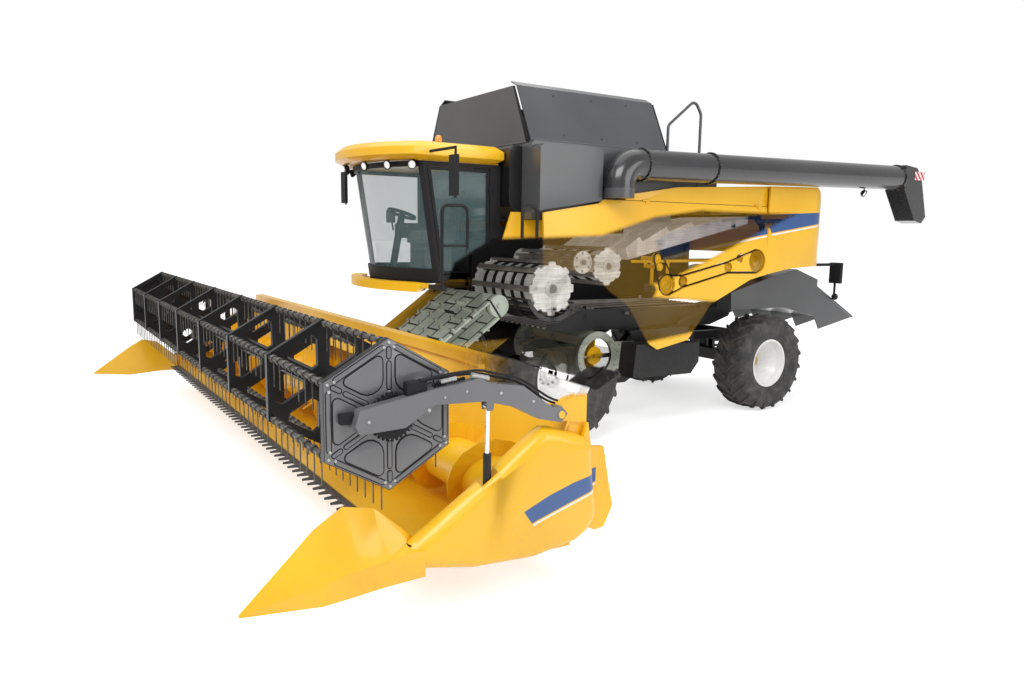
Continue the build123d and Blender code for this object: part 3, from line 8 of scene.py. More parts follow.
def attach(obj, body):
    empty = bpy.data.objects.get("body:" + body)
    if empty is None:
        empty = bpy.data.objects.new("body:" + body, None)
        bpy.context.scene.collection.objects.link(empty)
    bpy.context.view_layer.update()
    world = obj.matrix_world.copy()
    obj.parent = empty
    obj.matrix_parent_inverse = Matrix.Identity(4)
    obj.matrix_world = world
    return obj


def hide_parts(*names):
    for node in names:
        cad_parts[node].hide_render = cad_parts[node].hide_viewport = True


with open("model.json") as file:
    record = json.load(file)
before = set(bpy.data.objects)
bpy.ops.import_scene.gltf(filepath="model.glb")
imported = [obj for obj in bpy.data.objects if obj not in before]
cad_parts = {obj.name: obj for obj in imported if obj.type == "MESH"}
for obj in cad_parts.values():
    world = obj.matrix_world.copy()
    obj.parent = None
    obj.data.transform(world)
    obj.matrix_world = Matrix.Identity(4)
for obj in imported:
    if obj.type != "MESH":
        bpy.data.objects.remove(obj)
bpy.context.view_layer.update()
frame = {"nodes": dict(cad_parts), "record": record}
print("frame loaded")

axleShift = -1.35  # places below are written from the front axle's line, y backwards


def spot(x, y, z):
    return Vector((x, y + axleShift, z))


# shader maths
class Wire:  # one shader socket, with the arithmetic that adds Math nodes
    def __init__(self, socket):
        self.socket = socket

    def make(self, kind, setup=None, inputs=None, out=0):
        node = self.socket.id_data.nodes.new(kind)
        for name, value in (setup or {}).items():
            setattr(node, name, value)
        for key, value in (inputs or {}).items():
            target = node.inputs[key]
            if isinstance(value, Wire):
                self.socket.id_data.links.new(value.socket, target)
            else:
                target.default_value = value
        return Wire(node.outputs[out])

    def math(self, operation, *others, flip=False, clamp=False):
        values = [*others, self] if flip else [self, *others]
        return self.make("ShaderNodeMath", {"operation": operation, "use_clamp": clamp}, dict(enumerate(values)))

    def __add__(self, other): return self.math("ADD", other)
    def __radd__(self, other): return self.math("ADD", other)
    def __sub__(self, other): return self.math("SUBTRACT", other)
    def __rsub__(self, other): return self.math("SUBTRACT", other, flip=True)
    def __mul__(self, other): return self.math("MULTIPLY", other)
    def __rmul__(self, other): return self.math("MULTIPLY", other)
    def __truediv__(self, other): return self.math("DIVIDE", other)
    def __rtruediv__(self, other): return self.math("DIVIDE", other, flip=True)
    def __gt__(self, other): return self.math("GREATER_THAN", other)
    def __lt__(self, other): return self.math("LESS_THAN", other)
    def __and__(self, other): return self.math("MINIMUM", other)
    def __or__(self, other): return self.math("MAXIMUM", other)
    def __abs__(self): return self.math("ABSOLUTE")

    def ease(self, low, high):  # 0 below low, 1 above high, smooth between
        return self.make("ShaderNodeMapRange", {"interpolation_type": "SMOOTHSTEP"},
                         {"Value": self, "From Min": low, "From Max": high})

    def mix(self, first, second):  # colours, by this value
        node = self.make("ShaderNodeMix", {"data_type": "RGBA"}).socket.node
        links = self.socket.id_data.links
        links.new(self.socket, node.inputs[0])
        for name, colour in (("A", first), ("B", second)):
            target = [s for s in node.inputs if s.name == name and s.type == "RGBA"][0]
            if isinstance(colour, Wire):
                links.new(colour.socket, target)
            else:
                target.default_value = (*colour, 1)
        return Wire([s for s in node.outputs if s.type == "RGBA"][0])


class Finish:  # a material under way, with its object coordinates
    def __init__(self, name, **plain):
        self.material = bpy.data.materials.new(name)
        self.material.use_nodes = True
        self.tree = self.material.node_tree
        self.shader = self.tree.nodes["Principled BSDF"]
        coordinates = self.tree.nodes.new("ShaderNodeTexCoord")
        self.place = Wire(coordinates.outputs["Object"])
        parts = self.place.make("ShaderNodeSeparateXYZ", None, {0: self.place}).socket.node
        self.x, self.y, self.z = [Wire(s) for s in parts.outputs]
        self.y = self.y - axleShift
        for key, value in plain.items():
            self.shader.inputs[key.replace("_", " ")].default_value = value

    def noise(self, scale, detail=3, rough=0.5, place=None):
        return self.place.make("ShaderNodeTexNoise", None, {
            "Vector": place or self.place, "Scale": scale, "Detail": detail, "Roughness": rough})

    def moved(self, turn=(0, 0, 0), size=(1, 1, 1), shift=(0, 0, 0)):
        return self.place.make("ShaderNodeMapping", None, {
            "Vector": self.place, "Rotation": turn, "Scale": size, "Location": shift})

    def set(self, **values):
        for key, value in values.items():
            self.tree.links.new(value.socket, self.shader.inputs[key.replace("_", " ")])
        return self

    def feeding(self, name):  # what already feeds a socket of the shader
        return Wire([link.from_socket for link in self.tree.links if link.to_socket == self.shader.inputs[name]][0])

    def bump(self, height, strength=0.3, distance=0.002):
        normal = self.place.make("ShaderNodeBump", None,
                                 {"Height": height, "Strength": strength, "Distance": distance})
        return self.set(Normal=normal)


def paint(name, colour, shade, rough=0.32, coat=0.5, dust=0.10, metal=0.0, gleam=0.5):
    # sprayed coat: slow tone changes, orange peel, a little dust low down
    finish = Finish(name, Metallic=metal, Coat_Weight=coat, Coat_Roughness=0.12, Specular_IOR_Level=gleam)
    slow, fine = finish.noise(0.9, 4), finish.noise(26, 5, 0.65)
    tone = slow.ease(0.3, 0.7).mix(colour, shade)
    dirt = (1 - finish.z.ease(0.0, 1.5)) * fine.ease(0.35, 0.75) * dust
    finish.set(Base_Color=dirt.mix(tone, (0.30, 0.25, 0.18)), Roughness=rough + fine * 0.12 + dirt * 0.5)
    finish.bump(finish.noise(160, 2) + finish.noise(3.5, 2) * 0.6, 0.12, 0.0015)
    return finish


colours = {
    "yellow": (0.93, 0.52, 0.008), "yellowShade": (0.85, 0.455, 0.006),
    "black": (0.009, 0.009, 0.010), "blackShade": (0.016, 0.016, 0.018),
    "graphite": (0.055, 0.057, 0.060), "graphiteShade": (0.075, 0.077, 0.081),
    "white": (0.90, 0.90, 0.89), "whiteShade": (0.84, 0.84, 0.83),
    "blue": (0.022, 0.095, 0.30)}


def yellowCoat(name, rough=0.28, coat=0.3, dust=0.05):
    return paint(name, colours["yellow"], colours["yellowShade"], rough, coat, dust)


def whiteCoat(name):
    return paint(name, colours["white"], colours["whiteShade"], 0.32, 0.5, 0.25)


def blackCoat(name):
    return paint(name, colours["black"], colours["blackShade"], 0.34, 0.12, gleam=0.2)


yellowPaint = yellowCoat("yellowPaint", 0.30, 0.3, 0.10)
yellowPanel = yellowCoat("yellowPanel", 0.28, 0.35)
blackPaint = blackCoat("blackPaint")
graphitePaint = paint("graphitePaint", colours["graphite"], colours["graphiteShade"], 0.36, 0.4, 0.05)
tubePaint = paint("tubePaint", (0.020, 0.020, 0.022), (0.030, 0.030, 0.033), 0.20, 0.6, 0.02)
whitePaint = whiteCoat("whitePaint")
print("paints mixed")


def rubber(name, dusty=0.35):
    finish = Finish(name, Coat_Weight=0.0)
    blotch, grain = finish.noise(7, 5, 0.6), finish.noise(180, 3)
    tone = blotch.ease(0.3, 0.75).mix((0.028, 0.028, 0.029), (0.062, 0.060, 0.058))
    soil = blotch.ease(0.45, 0.8) * dusty
    finish.set(Base_Color=soil.mix(tone, (0.17, 0.15, 0.13)), Roughness=0.62 + grain * 0.2)
    finish.bump(grain + blotch * 0.5, 0.35, 0.003)
    return finish


tyreRubber = rubber("tyreRubber")


def worksSteel(name, light, dark, streak=0, glow=0.0):
    # rolled sheet: streaks along one axis, darker blotches and a few scuffs; inner works glow a little, painted light
    # that shows them lit inside the machine
    finish = Finish(name, Metallic=0.3, Emission_Strength=glow)
    size = [60, 60, 60]
    size[streak] = 2.5
    streaks = finish.noise(1, 4, 0.6, finish.moved(size=size))
    blotch = finish.noise(4, 5, 0.6)
    scuff = finish.noise(35, 6, 0.7).ease(0.62, 0.72)
    tone = (streaks * 0.6 + blotch * 0.5).ease(0.35, 0.8).mix(dark, light)
    worn = (scuff * 0.5).mix(tone, (0.55, 0.53, 0.48))
    finish.set(Base_Color=worn, Roughness=0.32 + blotch * 0.25)
    # painted light: the worn colour also glows, though the part is no lamp
    if glow:
        finish.set(Emission_Color=worn)
    finish.bump(streaks + blotch, 0.2, 0.002)
    return finish


def zincSteel(name):
    return worksSteel(name, (0.62, 0.62, 0.60), (0.34, 0.34, 0.33))


# the walkers' sheet glows at 0.34: painted light, as no lamp reaches them
sheetSteel = worksSteel("sheetSteel", (0.68, 0.64, 0.60), (0.38, 0.345, 0.325), 1, 0.34)
tineSteel = worksSteel("tineSteel", (0.16, 0.15, 0.13), (0.035, 0.034, 0.033))
darkSteel = worksSteel("darkSteel", (0.10, 0.10, 0.10), (0.03, 0.03, 0.032))
brightSteel = zincSteel("brightSteel")


def chainPlates():
    # overlapping plates between the slats, pale grey-green with dark joints; they glow a little, painted light that
    # shows the chain lit under the feeder's cover
    finish = Finish("chainPlates", Metallic=0.3, Emission_Strength=0.30)
    along = radians(35.7)
    flat = finish.moved(turn=(-along, 0, 0))
    split = flat.make("ShaderNodeSeparateXYZ", None, {0: flat}).socket.node
    across, down = Wire(split.outputs[0]), Wire(split.outputs[1])
    joined = across.make("ShaderNodeCombineXYZ", None, {0: down, 1: across})
    brick = joined.make("ShaderNodeTexBrick", {"offset": 0.5, "squash": 1.0}, {
        "Vector": joined, "Scale": 1.0, "Mortar Size": 0.016, "Mortar Smooth": 0.15, "Brick Width": 0.34,
        "Row Height": 0.30, "Color1": (0.44, 0.48, 0.41, 1), "Color2": (0.36, 0.40, 0.34, 1),
        "Mortar": (0.012, 0.012, 0.012, 1)})
    blotch = finish.noise(5, 5, 0.6)
    tone = (blotch.ease(0.45, 0.8) * 0.5).mix(brick, (0.17, 0.18, 0.15))
    finish.set(Base_Color=tone, Emission_Color=tone, Roughness=0.40 + blotch * 0.2)
    finish.bump(blotch, 0.2, 0.002)
    return finish


feederPlates = chainPlates()


def polished(name):
    finish = Finish(name, Metallic=1.0)
    turned = finish.noise(1, 2, 0.5, finish.moved(size=(8, 8, 120)))
    finish.set(Base_Color=turned.mix((0.62, 0.63, 0.65), (0.80, 0.80, 0.82)), Roughness=0.10 + turned * 0.10)
    return finish


chromeRod = polished("chromeRod")


def glazing(name):
    finish = Finish(name, Coat_Weight=0.3, Coat_Roughness=0.02)
    haze = finish.noise(2.2, 3)
    return finish.set(Base_Color=haze.mix((0.10, 0.20, 0.21), (0.20, 0.32, 0.33)), Roughness=0.03 + haze * 0.06)


def plastic(name, light, dark, rough=0.5, grain=220):
    finish = Finish(name, Specular_IOR_Level=0.2)
    slow, fine = finish.noise(1.5, 3), finish.noise(grain, 2)
    finish.set(Base_Color=slow.mix(light, dark), Roughness=rough + fine * 0.15)
    finish.bump(fine, 0.25, 0.0008)
    return finish


def blackMoulding(name):
    return plastic(name, (0.010, 0.010, 0.011), (0.018, 0.018, 0.020))


blackPlastic = blackMoulding("blackPlastic")
cabTrim = plastic("cabTrim", (0.075, 0.078, 0.082), (0.11, 0.112, 0.115), 0.6)


def castIron():
    finish = Finish("castIron", Metallic=0.2)
    lumps, fine = finish.noise(30, 4), finish.noise(6, 5, 0.7)
    finish.set(Base_Color=fine.ease(0.3, 0.8).mix((0.035, 0.036, 0.04), (0.075, 0.075, 0.075)),
               Roughness=0.5 + lumps * 0.3)
    finish.bump(lumps, 0.5, 0.004)
    return finish


engineIron = castIron()
# the sieves glow a little (0.18): painted light
sieveSteel = worksSteel("sieveSteel", (0.40, 0.38, 0.36), (0.20, 0.19, 0.18), 1, 0.18)
# the near-black stripes are painted shade in the gaps between the slats
across = (sieveSteel.x * 7.5).math("FRACT")
slatsAndGapShade = (across > 0.45).mix((0.012, 0.012, 0.013), sieveSteel.feeding("Base Color"))
sieveSteel.set(Base_Color=slatsAndGapShade, Emission_Color=slatsAndGapShade)
print("finishes made")


# modelling steps used below
def clear():
    if bpy.context.object and bpy.context.object.mode != "OBJECT":
        bpy.ops.object.mode_set(mode="OBJECT")
    bpy.ops.object.select_all(action="DESELECT")


def hold(*made):
    clear()
    for piece in made:
        piece.select_set(True)
    bpy.context.view_layer.objects.active = made[0]
    return made[0]


def linked(piece):  # into the scene
    bpy.context.scene.collection.objects.link(piece)
    return piece


def block(name, low, high):
    clear()
    low, high = Vector(low), Vector(high)
    bpy.ops.mesh.primitive_cube_add(size=1, location=(low + high) / 2, scale=high - low)
    bpy.context.object.name = name
    bpy.ops.object.transform_apply(location=True, rotation=True, scale=True)
    return bpy.context.object


def drum(name, radius, start, end, sides=32):  # closed round bar between two points
    clear()
    start, end = Vector(start), Vector(end)
    turn = (end - start).to_track_quat("Z", "Y").to_euler()
    bpy.ops.mesh.primitive_cylinder_add(vertices=sides, radius=radius, depth=(end - start).length,
                                        location=(start + end) / 2, rotation=turn)
    bpy.context.object.name = name
    bpy.ops.object.transform_apply(location=True, rotation=True, scale=True)
    return bpy.context.object


def pick(piece, test):  # edit mode with the faces that pass the test selected
    hold(piece)
    bpy.ops.object.mode_set(mode="EDIT")
    bpy.ops.mesh.select_mode(type="FACE")
    bpy.ops.mesh.select_all(action="DESELECT")
    mesh = bmesh.from_edit_mesh(piece.data)
    for face in mesh.faces:
        face.select_set(bool(test(face.calc_center_median(), face.normal)))
    mesh.select_flush_mode()
    bmesh.update_edit_mesh(piece.data)


def modify(piece, kind, **settings):
    hold(piece)
    modifier = piece.modifiers.new(kind.lower(), kind)
    for key, value in settings.items():
        setattr(modifier, key, value)
    bpy.ops.object.modifier_apply(modifier=modifier.name)
    return piece


def rounded(piece, width, segments=2, angle=30):
    return modify(piece, "BEVEL", width=width, segments=segments, limit_method="ANGLE", angle_limit=radians(angle))


def shaped(piece, rule):  # moves every point by a rule
    for vertex in piece.data.vertices:
        vertex.co = rule(vertex.co.copy())
    return piece


def tidied(piece):  # one skin with its faces outwards
    hold(piece)
    bpy.ops.object.mode_set(mode="EDIT")
    bpy.ops.mesh.select_all(action="SELECT")
    bpy.ops.mesh.remove_doubles(threshold=0.00005)
    bpy.ops.mesh.normals_make_consistent(inside=False)
    bpy.ops.object.mode_set(mode="OBJECT")
    return piece


def copied(piece, matrix):
    clear()
    twin = piece.copy()
    twin.data = piece.data.copy()
    linked(twin)
    twin.data.transform(matrix)
    if matrix.determinant() < 0:
        twin.data.flip_normals()
    return twin


def welded(name, made):  # several objects into one
    made = list(made)
    hold(*made)
    if len(made) > 1:
        bpy.ops.object.join()
    bpy.context.object.name = name
    return bpy.context.object


def repeated(name, piece, matrices):
    made = [copied(piece, matrix) for matrix in matrices]
    bpy.data.objects.remove(piece)
    return welded(name, made)


def prism(name, outline, low, high, axis="X"):  # flat outline pulled into a plate along an axis
    clear()
    place = {"X": lambda a, b, c: (c, a, b), "Y": lambda a, b, c: (a, c, b), "Z": lambda a, b, c: (a, b, c)}[axis]
    bpy.ops.mesh.primitive_circle_add(vertices=len(outline), radius=1, fill_type="NGON")
    piece = bpy.context.object
    piece.name = name
    for vertex, (a, b) in zip(piece.data.vertices, outline):
        vertex.co = place(a, b, low)
    bpy.ops.object.mode_set(mode="EDIT")
    bpy.ops.mesh.select_all(action="SELECT")
    bpy.ops.mesh.extrude_region_move(TRANSFORM_OT_translate={"value": place(0, 0, high - low)})
    bpy.ops.object.mode_set(mode="OBJECT")
    return tidied(piece)


def pipe(name, points, radius, smooth=True, sides=3):  # round line through points, as a mesh
    curve = bpy.data.curves.new(name, "CURVE")
    curve.dimensions, curve.bevel_depth, curve.bevel_resolution, curve.resolution_u = "3D", radius, sides, 8
    curve.use_fill_caps = True
    spline = curve.splines.new("NURBS" if smooth else "POLY")
    spline.points.add(len(points) - 1)
    for point, at in zip(spline.points, points):
        point.co = (*at, 1)
    spline.order_u, spline.use_endpoint_u = min(3, len(points)), True
    hold(linked(bpy.data.objects.new(name, curve)))
    bpy.ops.object.convert(target="MESH")
    return bpy.context.object


def turned(name, profile, centre, steps=64, start=0.0):
    # profile of (x from start, radius) spun round the X line through centre
    clear()
    bpy.ops.mesh.primitive_circle_add(vertices=len(profile), radius=1, fill_type="NOTHING")
    piece = bpy.context.object
    piece.name = name
    for vertex, (x, r) in zip(piece.data.vertices, profile):
        vertex.co = (start + x, centre[0], centre[1] + r)
    bpy.ops.object.mode_set(mode="EDIT")
    bpy.ops.mesh.select_all(action="SELECT")
    bpy.ops.mesh.spin(steps=steps, angle=2 * pi, center=(0, centre[0], centre[1]), axis=(1, 0, 0))
    bpy.ops.object.mode_set(mode="OBJECT")
    return tidied(piece)


def bodyOf(node):
    return [body for body, nodes in frame["record"]["behaviour"]["bodies"].items() if node in nodes][0]


def around(centre, angle):  # turn about the X line through (y, z)
    at = Matrix.Translation((0, centre[0], centre[1]))
    return at @ Matrix.Rotation(angle, 4, "X") @ at.inverted()


def turns(count):  # equal steps round a circle
    return [2 * pi * k / count for k in range(count)]


def ringOf(name, piece, centre, count):  # copies round the X line through (y, z)
    return repeated(name, piece, [around(centre, angle) for angle in turns(count)])


def mirroredWith(name, made, finish, body, angle=35):  # pieces and their twins on the other side
    piece = welded(name, made)
    return fitted(name, [piece, copied(piece, Matrix.Scale(-1, 4, (1, 0, 0)))], finish, body, angle)


def stud(name, radius, start, end, sides, width=0.002, segments=1):  # round bar with its edges taken off
    return rounded(drum(name, radius, start, end, sides), width, segments)


def settle(piece, finish, body, angle=35):  # smooth shading, finish and body
    hold(piece)
    bpy.ops.object.shade_smooth_by_angle(angle=radians(angle))
    piece.data.materials.clear()
    piece.data.materials.append(finish.material)
    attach(piece, body)
    return piece


def fitted(name, made, finish, body, angle=35):  # several objects into one settled piece
    return settle(welded(name, made), finish, body, angle)


def slab(name, low, high, width, segments):  # block with rounded edges, from the front axle's line
    return rounded(block(name, spot(*low), spot(*high)), width, segments)


# see-through windows over the works: soft-edged outlines on the machine's left side
def onLeft(finish):  # 1 on the machine's left side
    return (finish.x - 0.3).ease(0, 0.05)


def within(finish, corners, soft):
    centre = (sum(c[0] for c in corners) / len(corners), sum(c[1] for c in corners) / len(corners))
    inside = None
    for (ay, az), (by, bz) in zip(corners, corners[1:] + corners[:1]):
        length = sqrt((by - ay) ** 2 + (bz - az) ** 2)
        ny, nz = -(bz - az) / length, (by - ay) / length
        if (centre[0] - ay) * ny + (centre[1] - az) * nz < 0:
            ny, nz = -ny, -nz
        distance = (finish.y - ay) * ny + (finish.z - az) * nz
        inside = distance if inside is None else inside & distance
    return inside.ease(-soft, soft)


window = {
    "walkers": [(0.30, 2.62), (1.43, 2.93), (2.30, 3.04), (4.44, 3.03), (2.32, 2.30), (1.65, 2.05), (0.3, 1.9)],
    "rotors": [(-1.76, 2.0), (-1.38, 2.60), (0.51, 2.68), (1.19, 2.52), (1.49, 1.96), (1.25, 1.43), (-0.5, 1.2),
               (-1.76, 1.4)],
    "belts": [(1.35, 2.20), (1.70, 2.42), (2.20, 2.36), (3.75, 2.52), (3.95, 2.30), (3.20, 2.05), (2.2, 1.78),
              (1.6, 1.76)],
    "shoe": [(-0.7, 1.42), (-0.21, 1.91), (1.195, 1.90), (2.94, 1.74), (3.146, 1.576), (2.575, 1.372),
             (1.14, 1.224), (-0.1, 1.20)],
    "fan": [(-1.6, 1.45), (-0.5, 1.9), (1.4, 1.9), (1.62, 1.25), (1.27, 1.00), (0.56, 0.62), (-0.2, 0.86)],
    "cabCorner": [(-1.47, 1.9), (-1.27, 2.33), (-0.78, 2.60), (-0.5, 2.66), (-0.3, 2.66), (-0.3, 1.9)],
    "soft": 0.035, "left": {"walkers": 0.05, "rotors": 0.05, "shoe": 0.06}}
# each pulley's hole in the shield, and the strips of the belts between them: y, z, radius on the pulleys' plane
beltHoles = {
    "pulleys": [(1.90, 2.36, 0.07), (1.96, 2.24, 0.055), (2.09, 1.98, 0.14), (2.40, 2.03, 0.075),
                (3.34, 2.22, 0.07), (3.59, 2.36, 0.06), (3.99, 2.31, 0.17)],
    "belts": [(2, 3), (3, 4), (4, 6), (0, 2)], "x": 1.142, "thick": 0.012, "margin": 0.012, "nearer": 0.945,
    "about": (-5.767, 2.684)}


def seeThrough(finish, names=("walkers", "rotors", "shoe"), left=None):
    # paint stays only where no window lies; each window keeps a little of it
    solid = None
    for name in names:
        hole = within(finish, window[name], window["soft"])
        keep = window["left"][name] if left is None else left
        part = 1 - hole * (1 - keep)
        solid = part if solid is None else solid & part
    return finish.set(Alpha=1 - onLeft(finish) * (1 - solid))


# blue flash with its white line, on the side shields, the rear hood and the header's end covers
def flashed(finish, colour, top, low, gap, line):
    # top and low are broken lines of (y, z); the white line lies a gap under the low edge
    def height(corners):
        value = None
        for (ay, az), (by, bz) in zip(corners, corners[1:]):
            run = (finish.y - ay) * ((bz - az) / (by - ay)) + az
            value = run if value is None else (value & run)
        return value

    def edge(value, soft=0.003):
        return value.ease(-soft, soft)
    above, under = height(top), height(low)
    ends = edge(finish.y - top[0][0] - (above - finish.z) * 0.55, 0.004)
    ends = ends * (1 - edge(finish.y - top[-1][0], 0.004))
    body = edge(above - finish.z) * edge(finish.z - under) * ends
    rule = edge(under - gap - finish.z) * edge(finish.z - under + gap + line) * ends
    blue = finish.noise(1.4, 3).mix(colour, tuple(c * 0.75 for c in colour))
    striped = body.mix(finish.feeding("Base Color"), blue)
    return finish.set(Base_Color=rule.mix(striped, (0.85, 0.85, 0.84)))


flash = {"top": [(1.42, 2.60), (1.79, 2.74), (2.76, 2.93), (3.67, 3.01)],
         "low": [(1.42, 2.36), (2.20, 2.51), (3.09, 2.64), (3.67, 2.73)],
         "tailTop": [(3.60, 3.005), (4.90, 3.07)], "tailLow": [(3.60, 2.72), (4.90, 2.90)], "gap": 0.018,
         "line": 0.022}
shieldPaint = yellowCoat("shieldPaint")
flashed(shieldPaint, colours["blue"], flash["top"], flash["low"], flash["gap"], flash["line"])
seeThrough(shieldPaint)


def onShield(y, z):  # pulley plane to the shield in front of it
    return tuple(a + (b - a) * beltHoles["nearer"] for a, b in zip(beltHoles["about"], (y, z)))


def beltsShown(finish):  # holes for the pulleys, strips for the belts
    solid, holes = finish.feeding("Alpha"), None
    for y, z, r in beltHoles["pulleys"]:
        (cy, cz), reach = onShield(y, z), r * beltHoles["nearer"] + beltHoles["margin"]
        dy, dz = finish.y - cy, finish.z - cz
        hole = 1 - (dy * dy + dz * dz).math("SQRT").ease(reach - 0.006, reach + 0.006)
        holes = hole if holes is None else holes | hole
    for first, second in beltHoles["belts"]:
        (ay, az), (by, bz) = onShield(*beltHoles["pulleys"][first][:2]), onShield(*beltHoles["pulleys"][second][:2])
        ra, rb = [beltHoles["pulleys"][k][2] * beltHoles["nearer"] for k in (first, second)]
        length = sqrt((by - ay) ** 2 + (bz - az) ** 2)
        ny, nz = -(bz - az) / length, (by - ay) / length
        for sign in (1, -1):
            def beside(y, z, off):
                return y + ny * sign * off, z + nz * sign * off
            strip = [beside(ay, az, ra - 0.008), beside(ay, az, ra + 0.026),
                     beside(by, bz, rb + 0.026), beside(by, bz, rb - 0.008)]
            holes = holes | within(finish, strip, 0.005)
    return finish.set(Alpha=solid & (1 - onLeft(finish) * holes))


beltsShown(shieldPaint)
hoodPaint = yellowCoat("hoodPaint")
flashed(hoodPaint, colours["blue"], flash["tailTop"], flash["tailLow"], flash["gap"], flash["line"])
seeThrough(hoodPaint, ("walkers",))
beltsShown(hoodPaint)
endPaint = yellowCoat("endPaint", dust=0.08)
flashed(endPaint, colours["blue"], [(-2.72, 0.66), (-2.50, 0.745), (-2.26, 0.81), (-1.97, 0.86)],
        [(-2.72, 0.53), (-2.58, 0.58), (-2.3, 0.655), (-1.97, 0.745)], 0.012, 0.014)
feederPaint = yellowCoat("feederPaint", 0.30, 0.3, 0.10)
chainWindow = within(feederPaint, [(-1.80, 0.80), (-1.45, 1.60), (-0.30, 2.40), (0.3, 2.3), (0.3, 1.45),
                                   (-0.5, 1.10), (-1.6, 0.45)], 0.05)
feederSide = (feederPaint.x - 0.74).ease(0, 0.004)
nearCheek = feederSide & (1 - (feederPaint.z - 1.30).ease(-0.03, 0.03))
awayFromRight = (feederPaint.x + 0.73).ease(0, 0.004)
feederPaint.set(Alpha=1 - chainWindow * awayFromRight * (1 - nearCheek * 0.25))
wheelCut = {"front": ((-1.16, 1.34), (0.46, 0.70)), "rear": ((0.46, 0.70), (0.91, 0.93)), "soft": 0.02}


def cutAway(finish):  # upper part of the left front wheel fades out over the fan
    above = None
    for (ay, az), (by, bz) in (wheelCut["front"], wheelCut["rear"]):
        distance = finish.z - (finish.y - ay) * ((bz - az) / (by - ay)) - az
        above = distance if above is None else above & distance
    return finish.set(Alpha=1 - above.ease(-wheelCut["soft"], wheelCut["soft"]))


cutRubber = cutAway(rubber("cutRubber"))
cutRim = cutAway(whiteCoat("cutRim"))
cutSteel = cutAway(zincSteel("cutSteel"))
framePaint = seeThrough(blackCoat("framePaint"), ("fan",), 0.0)
wallPaint = seeThrough(blackCoat("wallPaint"), ("walkers", "rotors", "shoe", "belts", "fan"), 0.06)
platformPaint = seeThrough(blackCoat("platformPaint"), ("rotors",), 0.0)
acrossBeam = (platformPaint.z > 1.985) & (platformPaint.z < 2.094)
beamMask = (platformPaint.y < -1.5) & (platformPaint.x < 1.262) & acrossBeam
platformPaint.set(Base_Color=beamMask.mix(platformPaint.feeding("Base Color"), colours["yellow"]))
panelPaint = seeThrough(yellowCoat("panelPaint", 0.28, 0.35), ("rotors",), 0.0)
tankPaint = paint("tankPaint", colours["graphite"], colours["graphiteShade"], 0.30, 0.5, 0.05)
boxMask = (abs(tankPaint.x) < 1.19) & (tankPaint.y < -0.44)
tankPaint.set(Base_Color=boxMask.mix(tankPaint.feeding("Base Color"), (0.006, 0.006, 0.007)))
pillarPlastic = seeThrough(blackMoulding("pillarPlastic"), ("cabCorner",), 0.0)
cornerGlass = glazing("cornerGlass")
cornerHole = within(cornerGlass, window["cabCorner"], window["soft"]) & onLeft(cornerGlass)
cornerGlass.set(Alpha=(1 - cornerHole) * 0.20)
headerPaint = yellowCoat("headerPaint", 0.30, 0.3, 0.10)
beamFade = {"from": 1.9, "run": 1.7, "above": 1.22, "ear": 4.45, "earAbove": 1.42}
earKept = (headerPaint.x - beamFade["ear"]).ease(0, 0.04) * (1 - (headerPaint.z - beamFade["earAbove"]).ease(0, 0.05))
overBeam = (headerPaint.z - beamFade["above"]).ease(0, 0.08)
beamHole = (headerPaint.x - beamFade["from"]).ease(0, beamFade["run"]) & overBeam
headerPaint.set(Alpha=1 - (beamHole & (1 - earKept)))
finishOf = {
    framePaint: "main_frame front_axle",
    wallPaint: "side_wall_left",
    platformPaint: "cab_platform",
    panelPaint: "cab_side_panels",
    shieldPaint: "side_shield_left side_shield_right",
    pillarPlastic: "cab_shell cab_door",
    cornerGlass: "cab_glass door_glass",
    tankPaint: "grain_tank",
    feederPaint: "feeder_house",
    headerPaint: "header_frame",
    cutRim: "front_rim_left",
    whitePaint: "front_rim_right rear_rim_left rear_rim_right",
    graphitePaint: "engine_deck straw_chopper tank_cover_left tank_cover_right tank_cover_front tank_cover_rear",
    blackPlastic: "steering_column mirrors",
    yellowPaint: "belt_drive header_auger cleaning_fan",
    tubePaint: "unloading_auger",
    engineIron: "engine",
    darkSteel: "concave knife_bar",
    sheetSteel: "straw_walkers",
    sieveSteel: "sieves",
    tineSteel: "tine_bars",
    feederPlates: "feeder_chain",
    chromeRod: "lift_rods reel_rods"}
finishFor = {node: finish for finish, nodes in finishOf.items() for node in nodes.split()}
for node, piece in frame["nodes"].items():  # the rest is black, as are nodes that a later piece stands for
    piece.data.materials.clear()
    piece.data.materials.append(finishFor.get(node, blackPaint).material)
print("nodes finished")

# wheels: turned carcass with sidewall rings, and bent lugs in two staggered rows
wheels = {
    "front": {"track": 1.315, "y": 0.0, "radius": 0.90, "half": 0.322, "rim": 0.432, "lugs": 21, "lugHeight": 0.048,
              "hubX": 1.197, "hubR": 0.105, "bolts": 12, "boltCircle": 0.152},
    "rear": {"track": 1.235, "y": 4.03, "radius": 0.745, "half": 0.292, "rim": 0.374, "lugs": 20, "lugHeight": 0.042,
             "hubX": 1.092, "hubR": 0.105, "bolts": 10, "boltCircle": 0.128}}
tread = {"middle": 0.012, "shoulder": 0.7, "drop": 0.30, "sunk": 0.012, "sweep": 0.80, "bend": 0.85, "steps": 6}


